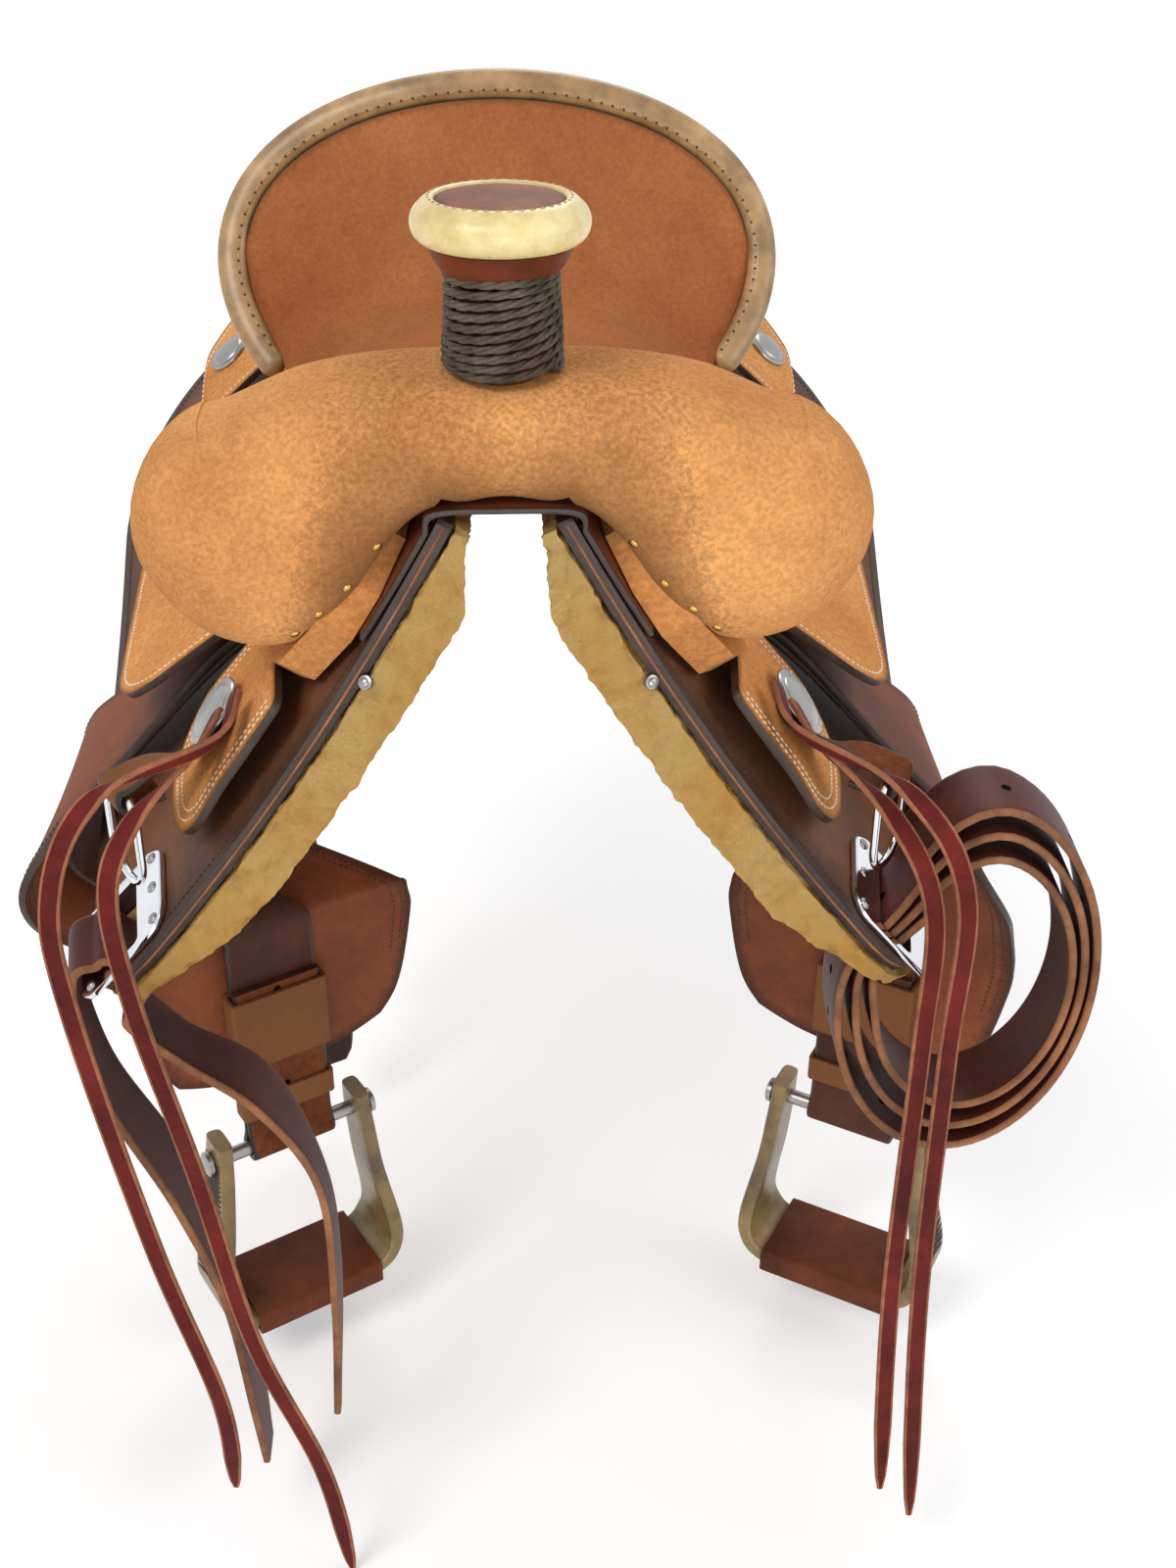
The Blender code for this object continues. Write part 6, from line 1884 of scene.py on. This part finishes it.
def add_stirrup_leather(side, word, points, yaws, bolt, wide, out, down):
    """The doubled leather: down its front strand, round the bolt and up its rear one, with painted shade for
    its holes.
    """
    turn = BOLT_RADIUS + SWING_GAP + LEATHER_THICK / 2
    front = [point + out_way(side, yaw) * STRAND_HALF for point, yaw in zip(points, yaws)]
    front[0] = points[0]
    near_bolt = mix(points[10], bolt, 0.55)
    spread = mix(STRAND_HALF, turn, 0.25)
    loop_points = [
        near_bolt + out * spread,
        bolt + out * turn,
        bolt + (out + down).normalized() * turn,
        bolt + down * turn,
        bolt + (down - out).normalized() * turn,
        bolt - out * turn,
        near_bolt - out * spread,
    ]
    loop_points += [points[i] - out * STRAND_HALF for i in (10, 9, 8)]
    strap_points = front + loop_points
    across = [yaw_way(side, yaw) for yaw in yaws] + [wide] * len(loop_points)
    widths = [HANG_WIDTH] + [LEATHER_WIDTH] * (len(strap_points) - 1)
    form = strap(strap_points, across, widths, LEATHER_THICK, 228, square=False, flat=8)
    body = f"{word}_fender"
    piece(f"{word}_stirrup_strap", form, (DARK, EDGE, UNDER), body, "dark", (f"stirrup_leather_{word}",))
    # Dark discs on both faces at the punched holes: painted shade for the holes.
    shares = [0.905 + 0.018 * step for step in range(6)]
    holes = [spot for lift in (LEATHER_THICK / 2, -LEATHER_THICK / 2)
             for spot in strap_spots(strap_points, across, lift, shares)]
    piece(f"{word}_strap_hole_shade", studs(holes, STIRRUP_HOLE, HOLE_FLAT), (HOLE_SHADE,), body, "dark")


def add_fender(side, word, points, yaws):
    """The fender outside its stirrup leather, and two rows of thread on each of its faces."""
    foot = Vector((BOLT_X[side], BOLT_Y, BOLT_Z + FENDER_FOOT))
    route = [mix(points[0], points[1], 0.4)] + points[1:10] + [foot]
    fender_yaws = yaws[:10] + yaws[9:10]
    offsets = [0.0, 0.0, 0.0, 0.0015, 0.0030, 0.0036] + [0.0038] * 5
    if side < 0:
        offsets[3:8] = [0.0030, 0.0055, 0.0054, 0.0050, 0.0046]
    fronts = [FENDER_FRONT * share for share in FENDER_SHARES]
    rears = [FENDER_REAR * (share - 0.05 * (share < 0.7)) for share in FENDER_SHARES]

    def fender_line(s, t):
        way = yaw_way(side, curve_at(fender_yaws, s))
        return curve_at(route, s) + way * mix(-curve_at(rears, s), curve_at(fronts, s), t)

    def fender_face(s, t, deep):
        """The place and way out at this depth; the two foot corners are drawn up a little."""
        s *= 1.0 - 0.045 * abs(2.0 * t - 1.0) ** 4
        yaw = curve_at(fender_yaws, s)
        ahead = fender_line(s + 0.02, t) - fender_line(s - 0.02, t)
        normal = yaw_way(side, yaw).cross(ahead).normalized()
        if normal.dot(out_way(side, yaw)) < 0:
            normal = -normal
        space = curve_at(offsets, s) + STRAND_HALF + LEATHER_THICK / 2 + 2 * GAP
        return fender_line(s, t) + normal * (space + deep), normal

    def thread_row(spots, level, way):
        found = [fender_face(s, t, level) for s, t in spots]
        return stitches([(place, normal * way) for place, normal in found])

    body = f"{word}_fender"
    form = slab(lambda s, t, face: fender_face(s, t, FENDER_THICK * face)[0], 100, 44)
    piece(f"{word}_fender_leather", form, (FENDER, EDGE, FENDER), body, "fender", (f"fender_{word}",))
    for number, inset in enumerate(FENDER_THREADS):
        foot_row = 0.985 - inset * 0.5
        faces = (("outer", FENDER_THICK, 1.0, foot_row - 0.025), ("inner", 0.0, -1.0, INNER_THREAD_FOOT))
        for face, level, way, last in faces:
            rear = [(mix(FENDER_THREAD_TOP, last, i / 120), inset) for i in range(121)]
            if face == "outer":
                rear += [(foot_row, mix(inset, 1.0 - inset, i / 60)) for i in range(61)]
            front = [(mix(last, FENDER_THREAD_TOP, i / 120), 1.0 - inset) for i in range(121)]
            thread = join(thread_row(rear, level, way), thread_row(front, level, way))
            piece(f"{word}_fender_thread_{face}_{number}", thread, (DARK_THREAD,), body, "fender")


def add_collars(side, word, bolt, wide, out, down):
    """The buckle sleeve and the hobble strap round the straight part of the doubled leather."""
    top = Vector((BOLT_X[side] + 0.001 * side, BOLT_Y, STRAIGHT_TOP))
    room_wide = LEATHER_WIDTH / 2 + SWING_GAP
    room_deep = STRAND_HALF + LEATHER_THICK / 2 + SWING_GAP
    for name, high, length, wall, body, stands_for in (
        ("sleeve", SLEEVE_TOP, SLEEVE_HEIGHT, SLEEVE_WALL, f"{word}_sleeve", f"buckle_sleeve_{word}"),
        ("hobble", HOBBLE_TOP, HOBBLE_HEIGHT, HOBBLE_WALL, f"{word}_fender", f"hobble_strap_{word}"),
    ):
        middle = mix(top, bolt, (high - length / 2 - STRAIGHT_TOP) / (BOLT_Z - STRAIGHT_TOP))
        form = collar(middle, wide, out, down, room_wide, room_deep, wall, length)
        piece(f"{word}_{name}_leather", form, (TAN,), body, "tan", (stands_for,))


BOW_PATH = (
    # across and down from the bolt, from one eye round the foot to the other
    (-BOW_TOP_HALF, -0.016),
    (-BOW_TOP_HALF - 0.002, 0.010),
    (-BOW_TOP_HALF - 0.006, 0.050),
    (-BOW_FOOT_HALF, BOW_HEIGHT - 0.032),
    (-BOW_FOOT_HALF + 0.003, BOW_HEIGHT - 0.012),
    (-BOW_FOOT_HALF + 0.014, BOW_HEIGHT - 0.001),
    (-0.030, BOW_HEIGHT),
    (0.0, BOW_HEIGHT),
    (0.030, BOW_HEIGHT),
    (BOW_FOOT_HALF - 0.014, BOW_HEIGHT - 0.001),
    (BOW_FOOT_HALF - 0.003, BOW_HEIGHT - 0.012),
    (BOW_FOOT_HALF, BOW_HEIGHT - 0.032),
    (BOW_TOP_HALF + 0.006, 0.050),
    (BOW_TOP_HALF + 0.002, 0.010),
    (BOW_TOP_HALF, -0.016),
)


def add_bow(word, bolt, wide, out, down):
    """The stirrup's rawhide-covered bow, wider at its foot than at its eyes."""
    bow_points = [bolt + wide * a + down * b for a, b in BOW_PATH]
    small = BOW_TOP_DEPTH
    large = BOW_FOOT_DEPTH
    widths = [small * 0.8, small, small * 1.15, large * 0.86, large * 0.98, large, large, large]
    widths += widths[:-1][::-1]
    form = set_finish(strap(bow_points, [out] * 2, widths, BOW_THICK, 144, flat=6), 0)
    piece(f"{word}_bow_hide", form, (OLIVE,), f"{word}_stirrup", "rawhide", (f"stirrup_bow_{word}",))
    return bow_points, widths


def add_bow_lacing(side, word, bow_points, widths, wide, out):
    """Crossed laces down the outer leg of the bow."""
    lace = bmesh.new()
    outer = math.copysign(1.0, wide.x * side)
    for step in range(22):
        s = mix(0.79, 0.955, step / 21)
        s = s if outer > 0 else 1.0 - s
        ahead = (curve_at(bow_points, s + 0.01) - curve_at(bow_points, s - 0.01)).normalized()
        normal = ahead.cross(out).normalized()
        normal *= math.copysign(1.0, normal.dot(wide) * outer)
        place = curve_at(bow_points, s) + normal * (BOW_THICK / 2 + 0.0002)
        for slope in (0.22, -0.22):
            way = (out + ahead * slope).normalized()
            turn = Matrix((way, normal.cross(way), normal)).transposed()
            ball(lace, place, 1.0, (curve_at(widths, s) * 0.42, 0.0009, 0.0008), turn, 2)
    piece(f"{word}_bow_lacing", lace, (DARK_THREAD,), f"{word}_stirrup", "rawhide")


def add_bolt(word, bolt, wide):
    """The bolt through the bow's eyes, with a round head at each end."""
    shaft = BOW_TOP_HALF + BOW_THICK / 2 + 0.0025
    head = BOLT_RADIUS * 1.7
    half = [(BOLT_RADIUS, shaft), (head, shaft), (head, shaft + 0.003), (head * 0.8, shaft + 0.004),
            (0.0, shaft + 0.004)]
    form = turned([(radius, -along) for radius, along in half[::-1]] + half, 32)
    form.transform(Matrix.Translation(bolt) @ wide.to_track_quat("Z", "Y").to_matrix().to_4x4())
    piece(f"{word}_bolt", form, (STEEL,), f"{word}_stirrup", "steel", (f"stirrup_bolt_{word}",))


def add_tread(word, bolt, wide, out, down):
    """The leather round the bow's foot."""
    form = collar(bolt + down * BOW_HEIGHT, out, down, wide, BOW_FOOT_DEPTH / 2 + GAP * 2,
                  BOW_THICK / 2 + GAP * 2, TREAD_WALL, TREAD_SPAN, 0.004)
    piece(f"{word}_tread_leather", form, (TREAD,), f"{word}_stirrup", "tan", (f"stirrup_tread_{word}",))


def dress_tree():
    """Finishes for the tree's own solids, which no piece replaces."""
    for name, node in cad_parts.items():
        if name.startswith(("tree_", "cantle_core")):
            node.data.materials.clear()
            node.data.materials.append(BAR_HIDE if name.startswith("tree_bar") else WOOD)


add_camera()
add_strings()
add_studio()
add_skirts()
add_swell()
add_horn()
add_seat()
add_jockeys()
add_latigo()
add_off_billet()
add_rear_billets()
add_hardware()
for side, word in SIDES.items():
    add_stirrup_side(side, word)
dress_tree()
